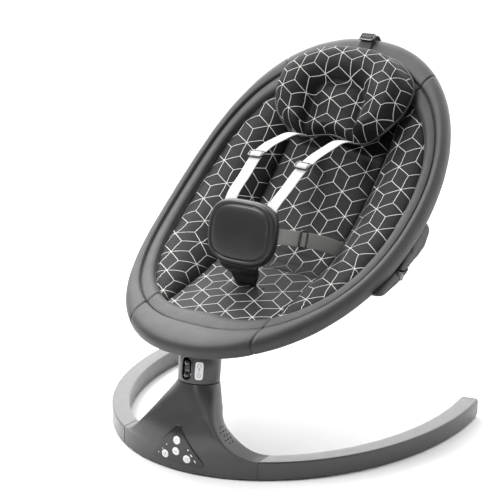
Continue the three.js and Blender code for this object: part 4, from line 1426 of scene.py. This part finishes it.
def patch(name, outline_u, outline_z, low, high, material, place, rings=7):
    """A thin raised plate with a soft edge that follows a curved surface."""
    cu, cz = outline_u.mean(), outline_z.mean()
    rows = [place(outline_u, outline_z, low)]
    for share, lift in [(1.0, high * 0.6)] + [(r, high) for r in np.linspace(0.965, 0.08, rings)]:
        rows.append(place(cu + (outline_u - cu) * share, cz + (outline_z - cz) * share, lift))
    return swept(name, np.array(rows), material)


def rounded_box(cu, cz, half_u, half_z, power=5.0, count=72):
    b = np.linspace(0, 2 * np.pi, count, endpoint=False)
    return cu + half_u * rounded(np.cos(b), power), cz + half_z * rounded(np.sin(b), power)


def build_label():
    """White plate with two plain rings, a stem and an arrow head: no lettering."""
    parts = [patch("label", *rounded_box(19.8, 22.8, 6.6, 14.6), -0.4, 0.5, label_paint, on_collar)]
    b = np.linspace(0, 2 * np.pi, 40, endpoint=False)
    for z0, r in ((30.5, 3.0), (14.8, 2.6)):
        parts.append(tube("mark", on_collar(19.8 + r * np.cos(b), z0 + r * np.sin(b), 0.5), 0.42, key_mark, 6,
                          closed=True))
    z = np.linspace(18.2, 26.6, 10)
    parts.append(tube("stem", on_collar(np.full_like(z, 19.8), z, 0.5), 0.42, key_mark, 6))
    for slope in (-1, 1):
        q = np.linspace(0, 1, 5)
        parts.append(tube("barb", on_collar(19.8 + slope * 2.0 * q, 26.6 - 2.4 * q, 0.5), 0.4, key_mark, 6))
    label = joined("collar_label", parts)
    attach(label, "seat_carrier")


build_label()


def front_place(x, z, lift):
    return pedestal_front(x, z, lift)[0]


PANEL_LIFT = 1.5
triangle = rounded_polygon([(-56, 15.0), (1.8, 80.0), (57, 15.0)], 7.0)
panel = patch("panel_face", triangle[:, 0], triangle[:, 1], -0.6, PANEL_LIFT, panel_paint,
              front_place, rings=16)
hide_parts("control_panel")
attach(panel, "base")

KEYS = {"power_key": (3.5, 53.0), "level_key": (2.5, 34.8),
        "music_key": (-19.0, 25.5), "timer_key": (22.5, 25.5)}


def key_marks(name, x0, z0):
    """A plain printed sign on each key."""
    b = np.linspace(0, 2 * np.pi, 36, endpoint=False)
    top = 3.05
    lines = []
    if name == "power_key":
        arc = np.radians(np.linspace(125, 415, 30))
        lines.append((x0 + 2.6 * np.cos(arc), z0 + 2.6 * np.sin(arc), False))
        lines.append((np.full(6, x0), z0 + np.linspace(0.6, 3.2, 6), False))
    elif name == "level_key":
        for dx in (-1.6, 1.6):
            lines.append((x0 + dx + 1.2 * np.cos(b), z0 + 1.2 * np.sin(b), True))
    elif name == "music_key":
        for r in (1.3, 2.8):
            lines.append((x0 + r * np.cos(b), z0 + r * np.sin(b), True))
    else:
        lines.append((x0 + 2.6 * np.cos(b), z0 + 2.6 * np.sin(b), True))
    return [tube("mark", front_place(x, z, top), 0.28, key_mark, 6, closed=closed) for x, z, closed in lines]


for name, (x0, z0) in KEYS.items():
    b = np.linspace(0, 2 * np.pi, 72, endpoint=False)
    rows = []
    for r, lift in ((6.2, -0.5), (6.5, 0.2), (6.5, 2.2), (6.1, 2.75), (5.2, 2.95), (3.0, 3.05), (0.4, 3.1)):
        rows.append(front_place(x0 + r * np.cos(b), z0 + r * np.sin(b), lift))
    key = joined(name + "_cap", [swept(name + "_cap", np.array(rows), key_paint), *key_marks(name, x0, z0)])
    smooth_by_angle(key, 35)
    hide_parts(name)
    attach(key, name)

lamps = []
for x0, z0, rx, rz in ((-16.0, 42.0, 1.1, 1.1), (-24.4, 33.0, 1.0, 1.0),
                       (-33.4, 24.2, 1.0, 1.0), (25.0, 41.0, 1.3, 1.3)):
    lamps.append(patch("lamp", *rounded_box(x0, z0, rx, rz, 2.0, 24), 0.8, PANEL_LIFT + 0.25,
                       key_paint, front_place, 3))
for x0, z0 in ((30.8, 32.6), (36.8, 23.8)):
    b = np.linspace(0, 2 * np.pi, 32, endpoint=False)
    u, v = 2.6 * rounded(np.cos(b), 3), 1.0 * rounded(np.sin(b), 3)
    turn = np.radians(-52)
    lamps.append(patch("lamp", x0 + u * np.cos(turn) - v * np.sin(turn),
                       z0 + u * np.sin(turn) + v * np.cos(turn),
                       0.8, PANEL_LIFT + 0.25, key_paint, front_place, 3))
lamps = joined("panel_lamps", lamps)
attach(lamps, "base")

# ---------- floor, light and camera ----------
floor = mesh_object("floor", [(-9000, -9000, 0), (9000, -9000, 0), (9000, 9000, 0), (-9000, 9000, 0)],
                    [[0, 1, 2, 3]], None, outward=False)
p = Paint("floor_pale")
p.set(Base_Color=p.mix(p.noise(p.place(), 3.0, 2.0), (0.86, 0.86, 0.86), (0.88, 0.88, 0.88)), Roughness=0.75)
floor.data.materials.append(p.material)

world = bpy.data.worlds.new("studio")
bpy.context.scene.world = world
world.use_nodes = True
sky = world.node_tree.nodes["Background"]
sky.inputs[0].default_value = (1, 1, 1, 1)
toward = world.node_tree.nodes.new("ShaderNodeTexCoord").outputs["Generated"]
along_sky = world.node_tree.nodes.new("ShaderNodeVectorMath")
along_sky.operation = "DOT_PRODUCT"
along_sky.inputs[1].default_value = (-0.25, 0.85, 0.45)
fade = world.node_tree.nodes.new("ShaderNodeMapRange")
for socket, value in (("From Min", -0.1), ("From Max", 0.95), ("To Min", 0.12), ("To Max", 2.8)):
    fade.inputs[socket].default_value = value
world.node_tree.links.new(toward, along_sky.inputs[0])
world.node_tree.links.new(along_sky.outputs["Value"], fade.inputs["Value"])
world.node_tree.links.new(fade.outputs["Result"], sky.inputs[1])


def area_light(name, place, target, size, power):
    data = bpy.data.lights.new(name, "AREA")
    data.shape, data.size, data.size_y, data.energy = "RECTANGLE", size[0], size[1], power
    lamp = bpy.data.objects.new(name, data)
    bpy.context.scene.collection.objects.link(lamp)
    lamp.location = place
    lamp.rotation_euler = (Vector(target) - Vector(place)).to_track_quat("-Z", "Y").to_euler()


# Powers are in watts, sizes and places in metres.
MIDDLE = (0, -0.03, 0.3)
area_light("key", (-0.9, -1.0, 2.0), MIDDLE, (0.7, 0.5), 34)
area_light("rear_top", (-0.95, 0.55, 1.5), (0, -0.25, 0.22), (1.3, 1.1), 20)
area_light("front", (0.5, -2.0, 1.1), MIDDLE, (0.25, 0.9), 5)

camera_data = bpy.data.cameras.new("camera")
camera_data.lens, camera_data.sensor_width = 128.29, 36
camera = bpy.data.objects.new("camera", camera_data)
bpy.context.scene.collection.objects.link(camera)
AZIMUTH, ELEVATION, DISTANCE, AIM = (
    np.radians(33.81024), np.radians(17.07809), 2.99436, (-0.04035, -0.0299, 0.29118))
back = Vector((np.sin(AZIMUTH) * np.cos(ELEVATION), -np.cos(AZIMUTH) * np.cos(ELEVATION), np.sin(ELEVATION)))
camera.location = Vector(AIM) + back * DISTANCE
camera.rotation_euler = back.to_track_quat("Z", "Y").to_euler()
bpy.context.scene.camera = camera
bpy.context.scene.view_settings.view_transform = "Standard"

bpy.context.view_layer.update()
